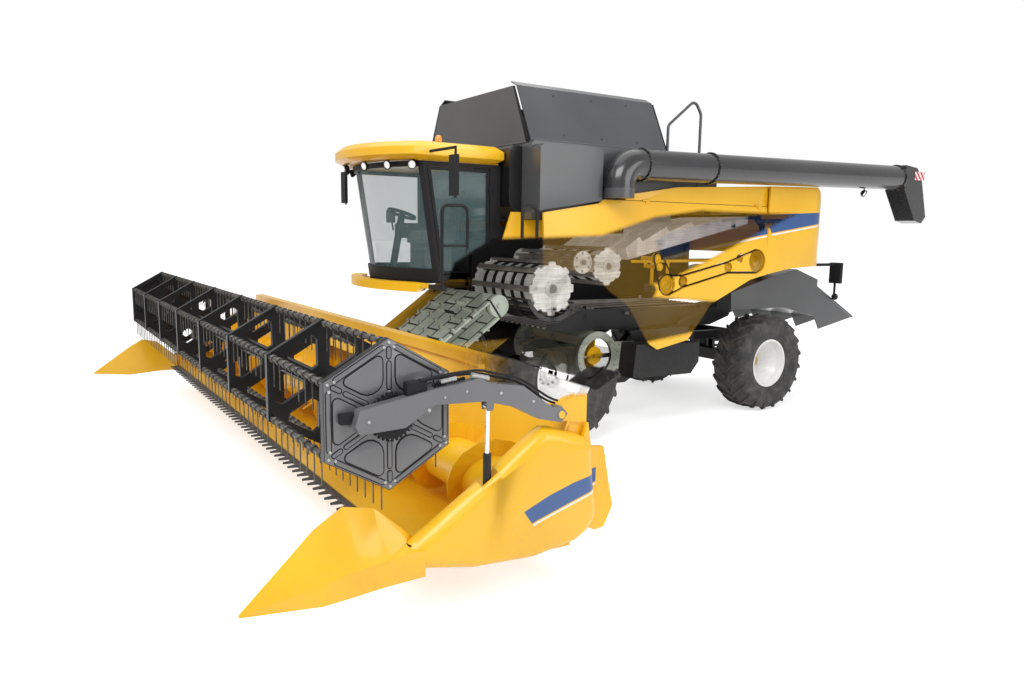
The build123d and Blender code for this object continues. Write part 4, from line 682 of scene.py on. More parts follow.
def makeTyre(size, side):
    r, h, deep = size["radius"], size["half"], size["lugHeight"]
    base = r - deep
    centre = (size["y"] + axleShift, r)
    rim = size["rim"]
    wall = [(0.80, rim), (0.86, rim + 0.012), (0.865, rim + 0.03), (0.90, rim + 0.05), (0.955, rim + 0.10),
            (0.975, rim + 0.105), (0.98, rim + 0.125), (0.995, rim + 0.19), (1.0, base - 0.17), (0.985, base - 0.10),
            (0.95, base - 0.05), (0.90, base - 0.018), (0.80, base - 0.004), (0.45, base + 0.002)]
    profile = [(side * size["track"] + a * h, b) for a, b in wall]
    profile += [(side * size["track"] - a * h, b) for a, b in reversed(wall)]
    carcass = turned("carcass", profile, centre, 72)
    lug = block("lug", (0, -0.5, 0), (1 / tread["steps"], 0.5, 1))
    for step in range(tread["steps"] - 1):
        pick(lug, lambda c, n: n.x > 0.9)
        bpy.ops.mesh.extrude_region_move(TRANSFORM_OT_translate={"value": (1 / tread["steps"], 0, 0)})
    clear()
    wide = 2 * pi * r / size["lugs"]

    def onTread(p):  # x of the plain lug runs from the tyre's middle to its shoulder, y round it, z outwards
        s, past = p.x, max(0, p.x - tread["shoulder"])
        u = tread["middle"] + s * (h * 0.995 - tread["middle"])
        low = base - tread["sunk"] - past * tread["drop"]
        top = r - 0.004 * s if past == 0 else r - 0.006 - past * 0.12
        radius = low + (top - low) * p.z
        thick = (0.30 + 0.10 * s) * wide * (1.12 - 0.30 * p.z) * 0.62
        angle = -(tread["sweep"] * s ** tread["bend"]) * h / r + p.y * thick / r
        return Vector((u, -radius * sin(angle), radius * cos(angle)))
    shaped(lug, onTread)
    rounded(tidied(lug), 0.006, 1, 50)
    made = [carcass]
    for half in (1, -1):
        flip = Matrix.Scale(half, 4, (1, 0, 0))
        for k in range(size["lugs"]):
            turn = 2 * pi * (k + 0.25 * (1 + half)) / size["lugs"]
            move = Matrix.Translation((side * size["track"], centre[0], centre[1]))
            made.append(copied(lug, move @ Matrix.Rotation(turn, 4, "X") @ flip))
    bpy.data.objects.remove(lug)
    return welded("tyre", made)


hubParts = {"nut": 0.016, "nutLong": 0.022, "studLong": 0.014, "small": 0.007, "smalls": 8, "smallCircle": 0.062}


def makeHub(size, side):
    # ring of nuts with their stud ends, hub cap and its small bolts
    r = size["radius"]
    centre = (size["y"] + axleShift, r)
    x = size["hubX"]
    top = centre[1] + size["boltCircle"]
    nut = drum("nut", hubParts["nut"], (x, centre[0], top), (x + hubParts["nutLong"], centre[0], top), 6)
    pick(nut, lambda c, n: n.x > 0.9)
    bpy.ops.mesh.inset(thickness=0.004)
    bpy.ops.mesh.extrude_region_move(TRANSFORM_OT_translate={"value": (hubParts["studLong"], 0, 0)})
    clear()
    nuts = ringOf("nuts", nut, centre, size["bolts"])
    edge = size["hubR"]
    cap = turned("cap", [(0.002, edge + 0.02), (0.018, edge + 0.018), (0.024, edge - 0.004), (0.078, edge - 0.014),
                         (0.088, edge - 0.024), (0.088, 0.03), (0.10, 0.026), (0.10, 0.0), (0.002, 0.0)],
                 centre, 40, x)
    top = centre[1] + hubParts["smallCircle"]
    small = drum("small", hubParts["small"], (x + 0.086, centre[0], top), (x + 0.098, centre[0], top), 6)
    rounded(small, 0.001, 1)
    smalls = ringOf("smalls", small, centre, hubParts["smalls"])
    if side < 0:
        for piece in (nuts, cap, smalls):
            piece.data.transform(Matrix.Scale(-1, 4, (1, 0, 0)))
            piece.data.flip_normals()
    return nuts, cap, smalls


goldZinc = worksSteel("goldZinc", (0.62, 0.42, 0.10), (0.36, 0.22, 0.05))
for end, size in wheels.items():
    for side, hand in ((1, "left"), (-1, "right")):
        wheelBody = f"{end}_wheel_{hand}"
        cut = end == "front" and hand == "left"
        tyre = settle(makeTyre(size, side), cutRubber if cut else tyreRubber, wheelBody, 40)
        tyre.name = f"{end}_tread_{hand}"
        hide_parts(f"{end}_tyre_{hand}")
        nuts, cap, smalls = makeHub(size, side)
        fitted(f"{end}_hub_nuts_{hand}", [nuts, smalls], cutSteel if cut else brightSteel, wheelBody)
        cap.name = f"{end}_hub_cap_{hand}"
        settle(cap, goldZinc if end == "rear" else cutRim if cut else whitePaint, wheelBody)
print("wheels made")

# threshing rotors: dark cores, lengthwise bars with their bolts, worn plates between them, notched end discs
# lightSteel and barSteel glow a little (0.22, 0.12): painted light on the rotors inside the machine
lightSteel = worksSteel("lightSteel", (0.80, 0.80, 0.76), (0.42, 0.41, 0.38), 1, 0.22)
barSteel = worksSteel("barSteel", (0.42, 0.385, 0.35), (0.16, 0.145, 0.13), 0, 0.12)
coreSteel = worksSteel("coreSteel", (0.050, 0.047, 0.045), (0.018, 0.017, 0.017))
works = {
    "half": 0.76, "bolt": 0.009,
    "threshing_drum": {"at": (0.35, 1.95), "r": 0.375, "core": 0.275, "bars": 8, "barWide": 0.075, "barDeep": 0.042,
                       "plates": 6, "plateR": 0.318, "shaft": 0.060, "notch": 0.052, "hub": 0.115},
    "beater": {"at": (0.87, 2.30), "r": 0.155, "core": 0.082, "bars": 6, "barWide": 0.030, "barDeep": 0.050,
               "plates": 0, "plateR": 0.11, "shaft": 0.035, "notch": 0.0, "hub": 0.05},
    "rotary_separator": {"at": (1.31, 2.24), "r": 0.275, "core": 0.185, "bars": 6, "barWide": 0.050, "barDeep": 0.055,
                         "plates": 5, "plateR": 0.215, "shaft": 0.045, "notch": 0.045, "hub": 0.085}}


def onDrum(centre, radius, angle, x=0.0):  # place on a rotor: x along it, z outwards, y round it
    turn = Matrix.Rotation(angle, 4, "X")
    return Matrix.Translation((x, centre[0], centre[1])) @ turn @ Matrix.Translation((0, 0, radius))


def starDisc(name, size, low, high):
    # disc whose rim stands up at each bar and drops between them
    outline = []
    step = 2 * pi / size["bars"]
    for k in range(size["bars"]):
        for share, r in ((-0.24, size["r"] - size["notch"]), (-0.18, size["r"] - 0.008), (0.18, size["r"] - 0.008),
                         (0.24, size["r"] - size["notch"]), (0.5, size["r"] - size["notch"] * 0.75)):
            a = (k + share) * step
            outline.append((size["at"][0] + axleShift - r * sin(a), size["at"][1] + r * cos(a)))
    return rounded(prism(name, outline, low, high), 0.002, 1, 40)


def makeRotor(node, size):
    half = works["half"]
    inner = half - 0.03
    centre = (size["at"][0] + axleShift, size["at"][1])
    step = 2 * pi / size["bars"]
    core = turned("core", [(0, 0.0), (0, size["core"]), (2 * inner, size["core"]), (2 * inner, 0.0)],
                  centre, size["bars"] * 4, -inner)
    shaft = drum("shaft", size["shaft"], (-0.797, *centre), (0.797, *centre), 24)
    deep, wide, r = size["barDeep"], size["barWide"], size["r"]
    section = [(-wide / 2, -deep), (wide / 2, -deep), (wide / 2, -0.012), (wide * 0.25, 0), (-wide / 2, -0.006)]
    bar = prism("bar", section, -half + 0.004, half - 0.004)
    for cut in range(1, 3):
        pick(bar, lambda c, n: True)
        bpy.ops.mesh.bisect(plane_co=(-half + cut * half * 2 / 3, 0, 0), plane_no=(1, 0, 0))
        clear()
    rounded(bar, 0.004, 2)
    bars = repeated("bars", bar, [onDrum(centre, r, k * step) for k in range(size["bars"])])
    dark = [core]
    light = []
    count = size["plates"] or 4
    pitch = 2 * inner / count
    low, high = size["core"] - 0.01, r - deep + 0.004
    ring = turned("ring", [(0, low), (0, high), (0.012, high), (0.012, low)], centre, size["bars"] * 4)
    dark.append(repeated("rings", ring, [Matrix.Translation((k * pitch - inner - 0.006, 0, 0))
                                         for k in range(1, count)]))
    if size["plates"]:
        gap = 2 * size["plateR"] * sin(step / 2) - wide
        a, b = pitch * 0.30, pitch * 0.40
        outline = [(-a, -gap / 2), (a, -gap / 2), (b, gap * 0.05), (a * 1.1, gap / 2), (-a * 1.1, gap / 2),
                   (-b, gap * 0.05)]
        plate = prism("plate", outline, 0, 0.010, "Z")
        rounded(plate, 0.003, 1)
        across = size["plateR"] * cos(step / 2)
        light.append(repeated("plates", plate, [
            onDrum(centre, across, (k + 0.5) * step, (j + 0.5) * pitch - inner)
            for k in range(size["bars"]) for j in range(count)]))
    bolt = drum("bolt", works["bolt"], (0, 0, -0.012), (0, 0, 0.004), 6)
    heads = repeated("heads", bolt, [onDrum(centre, r - 0.004, k * step, j * pitch - inner)
                                     for k in range(size["bars"]) for j in range(1, count)])
    ends = []
    for side in (-1, 1):
        low, high = sorted((side * (half - 0.026), side * half))
        if size["notch"]:
            ends.append(starDisc("star", size, low, high))
        else:
            middle = (low + high) / 2
            lip = [(low, r - 0.045), (low, r), (high, r), (high, r - 0.012), (middle, r - 0.020), (middle, r - 0.045)]
            web = [(low + 0.006, 0.0), (low + 0.006, r - 0.04), (high - 0.008, r - 0.04), (high - 0.008, 0.0)]
            ends += [turned("lip", lip, centre, 48), turned("web", web, centre, 48)]
        edge = size["hub"]
        hub = [(side * out, radius) for out, radius in (
            (0, 0.0), (0, edge), (0.012, edge - 0.008), (0.016, edge * 0.62), (0.034, edge * 0.55), (0.034, 0.0))]
        ends.append(turned("hub", hub, centre, 32, side * half))
        nut = drum("nut", works["bolt"], (side * half, 0, 0), (side * (half + 0.010), 0, 0), 6)
        ends.append(repeated("nuts", nut, [onDrum(centre, (size["hub"] + r) / 2, (k + 0.5) * step)
                                           for k in range(size["bars"])]))
    return welded("dark", dark), welded("bars", [bars, heads, shaft]), welded("light", light + ends)


for node in ("threshing_drum", "beater", "rotary_separator"):
    dark, bars, light = makeRotor(node, works[node])
    body = bodyOf(node)
    settle(dark, barSteel if node == "beater" else coreSteel, body).name = f"{node}_core"
    settle(bars, barSteel, body).name = f"{node}_bars"
    settle(light, lightSteel, body).name = f"{node}_plates"
    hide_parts(node)
size = works["rotary_separator"]
finger = prism("finger", [(-0.008, 0), (0.008, 0), (0.006, 0.040), (-0.006, 0.040)], -0.010, 0.010)
fingers = repeated("fingers", finger, [onDrum((size["at"][0] + axleShift, size["at"][1]), size["r"] - 0.042,
                                              (k * 2 * pi / 6), -0.69 + (j + 0.5 * (k % 2)) * 0.16)
                                       for k in range(6) for j in range(9)])
settle(fingers, barSteel, "rotary_separator").name = "separator_fingers"
print("rotors made")

# bolted covers over the right side wall's two openings
coverPlates = {"outlines": [[(-0.18, 1.40), (-0.18, 2.08), (0.11, 2.63), (0.91, 2.785), (1.67, 2.785),
                             (1.67, 1.335), (0.42, 1.225)],
                            [(1.77, 1.335), (1.77, 2.785), (4.26, 2.99), (4.44, 2.86), (4.44, 2.13),
                             (4.07, 1.72), (2.88, 1.64), (2.65, 1.335)]],
               "x": (-0.838, -0.832), "boltEvery": 0.24, "inset": 0.03}
made = []
for outline in coverPlates["outlines"]:
    plate = prism("plate", [(y + axleShift, z) for y, z in outline], *coverPlates["x"])
    pick(plate, lambda c, n: abs(n.x) > 0.9)
    bpy.ops.mesh.inset(thickness=coverPlates["inset"])
    bpy.ops.mesh.inset(thickness=0.006)
    clear()
    made.append(rounded(plate, 0.001, 1))
    middle = Vector([sum(p[axis] for p in outline) / len(outline) for axis in (0, 1)])
    for first, second in zip(outline, outline[1:] + outline[:1]):
        first, second = Vector(first), Vector(second)
        count = max(1, round((second - first).length / coverPlates["boltEvery"]))
        for k in range(count):
            at = first + (second - first) * k / count
            at = at + (middle - at).normalized() * coverPlates["inset"]
            y, z = at.x + axleShift, at.y
            made.append(drum("head", 0.008, (coverPlates["x"][0], y, z), (coverPlates["x"][0] - 0.007, y, z), 6))
fitted("wall_covers_right", made, blackPaint, "chassis")

# fan: see-through casing, bolted mouth ring and the plate beside it on the left wall
# the grey-green plate and the fan casing glow a little (0.12, 0.10): painted light
greyGreen = worksSteel("greyGreen", (0.46, 0.49, 0.41), (0.33, 0.35, 0.29), 1, 0.12)
fanShell = Finish("fanShell", Metallic=0.2, Emission_Strength=0.10)
cloud = fanShell.noise(5, 4)
shellTone = cloud.mix((0.34, 0.35, 0.29), (0.22, 0.23, 0.19))
ringMask = abs(fanShell.x) > 0.784
fanShell.set(Base_Color=shellTone, Emission_Color=shellTone, Roughness=0.35 + cloud * 0.2,
             Alpha=ringMask * 0.64 + 0.36)
frame["nodes"]["fan_housing"].data.materials[0] = fanShell.material
fanPlate = {"centre": (1.12, 0.98), "mouth": 0.252, "rim": 0.352, "x": 0.8305, "thick": 0.006, "top": 1.17,
            "bolts": 28, "boltCircle": 0.334,
            "outline": [(1.30, 1.34), (1.42, 1.17), (1.475, 0.98), (1.42, 0.79), (1.34, 0.68), (1.56, 0.80),
                        (1.74, 0.98), (1.80, 1.17)]}
x0, x1 = fanPlate["x"], fanPlate["x"] + fanPlate["thick"]
centre = (fanPlate["centre"][0] + axleShift, fanPlate["centre"][1])
mouth, rim, thick = fanPlate["mouth"], fanPlate["rim"], fanPlate["thick"]
ring = turned("ring", [(0, mouth), (thick + 0.004, mouth), (thick + 0.004, mouth + 0.012), (thick, mouth + 0.016),
                       (thick, rim), (0, rim)], centre, 72, x0)
outline = [(y + axleShift, min(z, fanPlate["top"])) for y, z in fanPlate["outline"]]
plate = rounded(prism("plate", outline, x0, x1 - 0.001), 0.001, 1)
reach = fanPlate["boltCircle"]
bolt = drum("bolt", 0.0075, (x1, centre[0], centre[1] + reach), (x1 + 0.006, centre[0], centre[1] + reach), 6)
bolts = repeated("bolts", bolt, [around(centre, angle) for angle in turns(fanPlate["bolts"])
                                 if centre[1] + reach * cos(angle) < fanPlate["top"]])
spots = [drum("bolt", 0.010, (x1 - 0.001, y + axleShift, z), (x1 + 0.006, y + axleShift, z), 6)
         for y, z in ((1.50, 1.12), (1.60, 1.05), (1.70, 1.12), (1.55, 0.90), (1.48, 1.02), (1.64, 0.97))]
fitted("fan_plate", [ring, plate], greyGreen, "chassis")
fitted("fan_plate_bolts", [bolts, *spots], darkSteel, "chassis")
print("fan plate made")


# reel: pressed hexagon end plates with their ribs, slots and bolts, gear, hub; black strips round the panels and
# beads are painted shade in their grooves
def filleted(corners, radii, steps=5):  # flat outline with rounded corners
    outline = []
    for i, (corner, r) in enumerate(zip(corners, radii)):
        c, ahead = Vector(corner), Vector(corners[(i + 1) % len(corners)])
        before, after = (Vector(corners[i - 1]) - c).normalized(), (ahead - c).normalized()
        half = before.angle(after) / 2
        centre = c + (before + after).normalized() * (r / sin(half))
        start = c + before * (r * cos(half) / sin(half)) - centre
        end = c + after * (r * cos(half) / sin(half)) - centre
        first = atan2(start.y, start.x)
        sweep = (atan2(end.y, end.x) - first + pi) % (2 * pi) - pi
        outline += [(centre.x + r * cos(first + sweep * k / steps),
                     centre.y + r * sin(first + sweep * k / steps)) for k in range(steps + 1)]
    return outline


def slotShape(low, high, half, steps=5):  # round-ended slot along the second axis
    shape = [(half * cos(pi * k / steps), high + half * sin(pi * k / steps)) for k in range(steps + 1)]
    shape += [(-half * cos(pi * k / steps), low - half * sin(pi * k / steps)) for k in range(steps + 1)]
    return shape


plateGrey = paint("plateGrey", (0.150, 0.150, 0.158), (0.120, 0.120, 0.127), 0.24, 0.5, 0.04)
reelEnd = {"centre": (-3.69, 1.46), "face": 4.488, "r": 0.522, "spoke": 0.048, "far": 0.393, "inner": 0.10,
           "corner": 0.03, "groove": 0.009, "ribAt": 0.424, "rib": (-0.185, 0.185, 0.014),
           "slots": ((0.40, 0.452, 0.013), (0.19, 0.355, 0.013))}
reelCentre = (reelEnd["centre"][0] + axleShift, reelEnd["centre"][1])


def onReel(angle):  # upright sector to its place round the reel
    return Matrix.Translation((0, *reelCentre)) @ Matrix.Rotation(angle, 4, "X")


def roundReel(name, piece, angles):
    return repeated(name, piece, [onReel(angle) for angle in angles])


def panelShape(grow):
    spoke, far = reelEnd["spoke"] - grow, reelEnd["far"] + grow
    reach = (far * 0.5 - spoke) / cos(radians(30))
    return filleted([(-reach, far), (reach, far), (0, spoke / 0.5)],
                    [reelEnd["corner"] + grow, reelEnd["corner"] + grow, reelEnd["inner"] + grow])


face, groove = reelEnd["face"], reelEnd["groove"]
cover = prism("cover", [(reelEnd["r"] * sin(radians(60 * k)),
                         reelEnd["r"] * cos(radians(60 * k))) for k in range(6)], face - 0.002, face + 0.004)
rounded(cover, 0.002, 2)
cover.data.transform(Matrix.Translation((0, *reelCentre)))
# black strips a little wider than each panel and bead are painted shade, standing in for the shadow in their grooves;
# the gear joins them as a black part of its own
raised, grooves = [cover], []
sectors = [radians(30 + 60 * k) for k in range(6)]
corners = [radians(60 * k) for k in range(6)]
level = (face + 0.003, face + 0.0055, face + 0.012)
panel = rounded(prism("panel", panelShape(0), level[0], level[2]), 0.004, 3)
raised.append(roundReel("panels", panel, sectors))
grooves.append(roundReel("grooves", prism("groove", panelShape(groove), level[0], level[1]), sectors))
turnedSlot = Matrix.Rotation(radians(90), 4, "X")
beads = [(reelEnd["rib"], sectors, True)] + [(slot, corners, False) for slot in reelEnd["slots"]]
for (low, high, half), places, across in beads:
    # the grown, lower copy of each bead is its black outline: painted shade
    for grow, top, store in ((0, level[2] - 0.003, raised), (0.007, level[1], grooves)):
        bead = prism("bead", slotShape(low, high, half + grow), level[0], top)
        if across:
            bead.data.transform(Matrix.Translation((0, 0, reelEnd["ribAt"])) @ turnedSlot)
        if not grow:
            rounded(bead, 0.004, 2)
        store.append(roundReel("beads", bead, places))
hub = turned("hub", [(0.003, 0.0), (0.003, 0.118), (0.012, 0.112), (0.014, 0.095), (0.010, 0.088), (0.010, 0.060),
                     (0.034, 0.055), (0.040, 0.046), (0.072, 0.044), (0.072, 0.0)], reelCentre, 48, face)
raised.append(hub)
gear = {"teeth": 30, "root": 0.150, "tip": 0.170}
teeth = []
for k in range(gear["teeth"]):
    for share, r in ((-0.30, gear["root"]), (-0.16, gear["tip"]), (0.16, gear["tip"]), (0.30, gear["root"])):
        a = (k + share) * 2 * pi / gear["teeth"]
        teeth.append((reelCentre[0] + r * sin(a), reelCentre[1] + r * cos(a)))
grooves.append(rounded(prism("gear", teeth, face + 0.036, face + 0.060), 0.002, 1, 50))
heads = []  # radius, height off the face, place on the sector
for radius, low, high, v, u, places in (
        (0.011, 0.002, 0.014, 0, 0.494, corners), (0.011, 0.002, 0.014, 0.036, 0.462, corners),
        (0.011, 0.002, 0.014, -0.036, 0.462, corners), (0.009, 0.008, 0.020, 0, 0.078, sectors),
        (0.008, 0.002, 0.012, 0, 0.165, corners)):
    heads.append(roundReel("heads", stud("head", radius, (face + low, v, u), (face + high, v, u), 6), places))
for name, made, finish in (("reel_end_plates", raised, plateGrey), ("reel_end_grooves", grooves, blackPlastic),
                           ("reel_end_bolts", heads, brightSteel)):
    mirroredWith(name, made, finish, "reel", 30)
print("reel ends made")

# reel arms: pivot caps, bolts, toothed rack, oil pipes and end block
arm = {"in": 4.565, "out": 4.645}
frame["nodes"]["reel_arms"].data.materials[0] = plateGrey.material
bright, dark, pipes = [], [], []
for y, z, r in ((-3.90, 1.470, 0.012), (-3.47, 1.50, 0.014), (-3.35, 1.575, 0.010), (-3.18, 1.60, 0.010),
                (-2.90, 1.56, 0.012), (-2.62, 1.47, 0.012)):
    bright.append(stud("bolt", r, (arm["out"] - 0.001, y + axleShift, z),
                       (arm["out"] + 0.009, y + axleShift, z), 6))
bright.append(turned("pin", [(-0.002, 0.0), (-0.002, 0.030), (0.010, 0.028), (0.012, 0.0)],
                     (-2.36 + axleShift, 1.34), 24, arm["out"]))
rack = {"teeth": 12, "pitch": 0.020, "rise": 0.0022, "start": (-3.40, 1.648), "wide": 0.010, "high": 0.020}
for k in range(rack["teeth"]):
    y, z = rack["start"][0] + k * rack["pitch"], rack["start"][1] + k * rack["rise"]
    dark.append(slab("tooth", (arm["in"] + 0.012, y, z),
                     (arm["in"] + 0.045, y + rack["wide"], z + rack["high"]), 0.002, 1))
for low, high, width, segments in (((0.010, -3.41, 1.640), (0.048, -3.15, 1.652), 0.003, 2),
                                   ((-0.050, -4.06, 1.45), (0.012, -3.74, 1.52), 0.006, 2),
                                   ((-0.012, -3.62, 1.56), (0.060, -3.47, 1.70), 0.012, 3)):
    dark.append(slab("box", (arm["in"] + low[0], *low[1:]), (arm["in"] + high[0], *high[1:]), width, segments))
bright.append(drum("valve", 0.020, (4.60, -3.12 + axleShift, 1.70), (4.60, -2.98 + axleShift, 1.665), 16))
bright.append(drum("valve", 0.016, (4.60, -3.36 + axleShift, 1.675), (4.60, -3.24 + axleShift, 1.69), 16))
for off in (0.0, 0.026):
    line = [(-3.52, 1.70), (-3.40, 1.70 + off), (-3.06, 1.715 + off), (-2.98, 1.685 + off),
            (-2.71, 1.625 + off), (-2.46, 1.44 + off), (-2.38, 1.42 + off)]
    pipes.append(pipe("line", [(4.585 + off * 1.4, y + axleShift, z) for y, z in line], 0.009))
for name, made, finish in (("arm_bolts", bright, brightSteel), ("arm_drive", dark, blackPlastic),
                           ("arm_oil_pipes", pipes, blackPlastic)):
    mirroredWith(name, made, finish, "reel_arms")
print("reel arms dressed")

# driver's seat: sewn cushions on a moulded base
weave = Finish("seatWeave", Sheen_Weight=0.3)
warp = weave.noise(1, 2, 0.5, weave.moved(size=(420, 40, 420))) * weave.noise(1, 2, 0.5,
        weave.moved(size=(40, 420, 40)))
worn = weave.noise(5, 4)
weave.set(Base_Color=worn.mix((0.060, 0.064, 0.070), (0.105, 0.110, 0.118)), Roughness=0.8 + warp * 0.15)
weave.bump(warp, 0.5, 0.0015)
seat = {"cushion": ((-0.25, -1.34, 2.570), (0.25, -0.85, 2.685)),
        "back": ((-0.23, -0.915, 2.66), (0.23, -0.80, 3.26)),
        "lean": radians(8), "hinge": (0, -0.86, 2.66), "voxel": 0.010, "pressure": 4.0, "cap": 0.018,
        "shots": 20, "seams": (-0.15, 0.15), "backSeams": (2.82, 2.98, 3.12), "seamDeep": 0.010, "seamHalf": 0.022}


def cushion(name, low, high):
    pad = block(name, spot(*low), spot(*high))
    pick(pad, lambda c, n: True)
    bpy.ops.mesh.subdivide(number_cuts=5)
    clear()
    rounded(pad, 0.03, 3, 60)
    modify(pad, "REMESH", mode="VOXEL", voxel_size=seat["voxel"])
    before = [v.co.copy() for v in pad.data.vertices]
    hold(pad)
    cloth = pad.modifiers.new("cloth", "CLOTH")
    cloth.settings.use_pressure = True
    cloth.settings.uniform_pressure_force = seat["pressure"]
    cloth.settings.effector_weights.gravity = 0
    for shot in range(1, seat["shots"] + 1):
        bpy.context.scene.frame_set(shot)
    bpy.ops.object.modifier_apply(modifier=cloth.name)
    bpy.context.scene.frame_set(1)
    for vertex, was in zip(pad.data.vertices, before):
        step = vertex.co - was
        if step.length > seat["cap"]:
            vertex.co = was + step * (seat["cap"] / step.length)
    modify(pad, "SUBSURF", levels=1, render_levels=1)
    return pad


def creased(pad, lines, axis, top):  # sewn channels across a pad, sunk along the top's axis and sign
    def rule(p):
        for at in lines:
            gap = abs(p[axis] - at)
            if gap < seat["seamHalf"]:
                p[top[0]] -= top[1] * seat["seamDeep"] * (1 - gap / seat["seamHalf"]) ** 2
        return p
    return shaped(pad, rule)


pads = [cushion("seat_cushion", *seat["cushion"]), cushion("seat_backrest", *seat["back"])]
creased(pads[0], seat["seams"], 0, (2, 1))
creased(pads[1], seat["backSeams"], 2, (1, -1))
hinge = Matrix.Translation(spot(*seat["hinge"]))
lean = hinge @ Matrix.Rotation(-seat["lean"], 4, "X") @ hinge.inverted()
pads[1].data.transform(lean)
for pad in pads:
    settle(pad, weave, "chassis", 60)
# pan, foot, console and its leg, arm rest and its arm, bellows, screen
rows = (((-0.24, -1.32, 2.54), (0.24, -0.86, 2.575), 0.012, 3), ((-0.20, -1.27, 2.162), (0.20, -0.87, 2.50), 0.03, 3),
        ((-0.42, -1.42, 2.60), (-0.29, -0.90, 2.80), 0.03, 4), ((-0.40, -1.20, 2.17), (-0.30, -0.95, 2.62), 0.02, 3),
        ((0.27, -1.25, 2.76), (0.34, -0.90, 2.81), 0.025, 4), ((0.29, -0.93, 2.60), (0.32, -0.88, 2.80), 0.01, 2),
        ((-0.20, -1.26, 2.502), (0.20, -0.88, 2.515), 0.004, 2),
        ((-0.20, -1.26, 2.521), (0.20, -0.88, 2.534), 0.004, 2),
        ((-0.50, -1.50, 2.80), (-0.28, -1.46, 2.97), 0.010, 3))
base = [slab("part", *row) for row in rows]
shell = slab("shell", (-0.22, -0.80, 2.60), (0.22, -0.775, 3.24), 0.012, 3)
shell.data.transform(lean)
base.append(shell)
lever = drum("lever", 0.020, spot(-0.355, -1.33, 2.80), spot(-0.355, -1.36, 2.93), 16)
base.append(rounded(lever, 0.008, 3))
base.append(stud("screenPost", 0.012, spot(-0.38, -1.45, 2.70), spot(-0.38, -1.47, 2.84), 12))
fitted("seat_base", base, cabTrim, "chassis")
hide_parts("driver_seat")
print("seat made")


# bevelled, smooth-shaded stand-ins for panels whose CAD edges are sharp
def softened(node, name, width, finish, segments=3, sharp=25):
    clear()
    piece = copied(frame["nodes"][node], Matrix())
    piece.name = name
    hold(piece)
    bpy.ops.object.mode_set(mode="EDIT")
    bpy.ops.mesh.select_all(action="SELECT")
    bpy.ops.mesh.remove_doubles(threshold=0.00005)
    bpy.ops.mesh.dissolve_limited(angle_limit=radians(1))
    bpy.ops.object.mode_set(mode="OBJECT")
    modify(piece, "BEVEL", width=width, segments=segments, limit_method="ANGLE", angle_limit=radians(sharp),
           use_clamp_overlap=True)
    settle(piece, finish, bodyOf(node), 40)
    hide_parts(node)
    return piece


softened("cab_roof", "roof_skin", 0.022, yellowPanel)
print("roof softened")

# roof lamps, beacon, mirror glass, beam lamps
def lensGlass(name, light, dark, scale, rough, glow):
    finish = Finish(name, Coat_Weight=0.6, Emission_Strength=glow)
    ripple = finish.noise(scale, 2)
    tone = ripple.mix(light, dark)
    return finish.set(Base_Color=tone, Emission_Color=tone, Roughness=rough + ripple * 0.1)


lampGlass = lensGlass("lampGlass", (0.80, 0.81, 0.80), (0.93, 0.93, 0.92), 60, 0.12, 0.35)
amberLens = lensGlass("amberLens", (0.95, 0.30, 0.01), (0.80, 0.20, 0.005), 90, 0.15, 0.15)
redLens = lensGlass("redLens", (0.70, 0.015, 0.010), (0.50, 0.010, 0.008), 90, 0.15, 0.0)


def roundLamp(at, towards, r):  # cup and lens looking along a direction
    cup = turned("cup", [(-0.05, 0.0), (-0.05, r * 0.55), (-0.02, r * 0.95), (0.0, r), (0.012, r),
                         (0.012, r * 0.88), (0.0, r * 0.86), (-0.01, 0.0)], (0, 0), 28)
    lens = turned("lens", [(-0.004, 0.0), (-0.004, r * 0.85), (0.004, r * 0.84), (0.012, r * 0.5),
                           (0.015, 0.0)], (0, 0), 28)
    place = Matrix.Translation(at) @ Vector(towards).to_track_quat("X", "Z").to_matrix().to_4x4()
    for piece in (cup, lens):
        piece.data.transform(place)
    return cup, lens


cups, lenses = [], []
for x, y, side in ((0.30, -2.13, 0.35), (0.66, -1.99, 0.45), (0.93, -1.80, 0.9), (-0.30, -2.13, -0.35),
                   (-0.66, -1.99, -0.45), (-0.93, -1.80, -0.9)):
    cup, lens = roundLamp(spot(x, y, 3.452), (side, -1, -0.25), 0.052)
    cups += [cup, stud("stalk", 0.008, spot(x - side * 0.01, y + 0.02, 3.46),
                       spot(x - side * 0.01, y + 0.02, 3.525), 10, 0.001, 1)]
    lenses.append(lens)
for x, y in ((1.05, -1.735), (-1.05, -1.735)):
    cup, lens = roundLamp(spot(x, y, 2.04), (0.35 if x > 0 else -0.35, -1, 0), 0.040)
    cups.append(cup)
    lenses.append(lens)
fitted("lamp_cups", cups, blackPlastic, "chassis")
fitted("lamp_lenses", lenses, lampGlass, "chassis")
beaconFoot = turned("beaconFoot", [(0, 0.0), (0, 0.052), (0.018, 0.052), (0.022, 0.044), (0.022, 0.0)], (0, 0), 32)
beaconDome = turned("beaconDome", [(0.020, 0.0), (0.020, 0.042), (0.075, 0.040), (0.092, 0.032), (0.100, 0.018),
                                   (0.102, 0.0)], (0, 0), 32)
upright = Matrix.Translation(spot(0.86, -1.42, 3.712)) @ Matrix.Rotation(radians(-90), 4, "Y")
for piece in (beaconFoot, beaconDome):
    piece.data.transform(upright)
settle(beaconFoot, blackPlastic, "chassis").name = "beacon_foot"
settle(beaconDome, amberLens, "chassis").name = "beacon_dome"
mirrorGlass = polished("mirrorGlass")
glasses = []
for side in (1, -1):
    x = 1.64 * side
    glasses.append(slab("glass", (x - 0.068, -1.621, 3.10), (x + 0.068, -1.615, 3.34), 0.004, 2))
    glasses.append(slab("glass", (x - 0.068, -1.621, 3.36), (x + 0.068, -1.615, 3.50), 0.004, 2))
fitted("mirror_glasses", glasses, mirrorGlass, "chassis")
print("lamps and mirrors made")

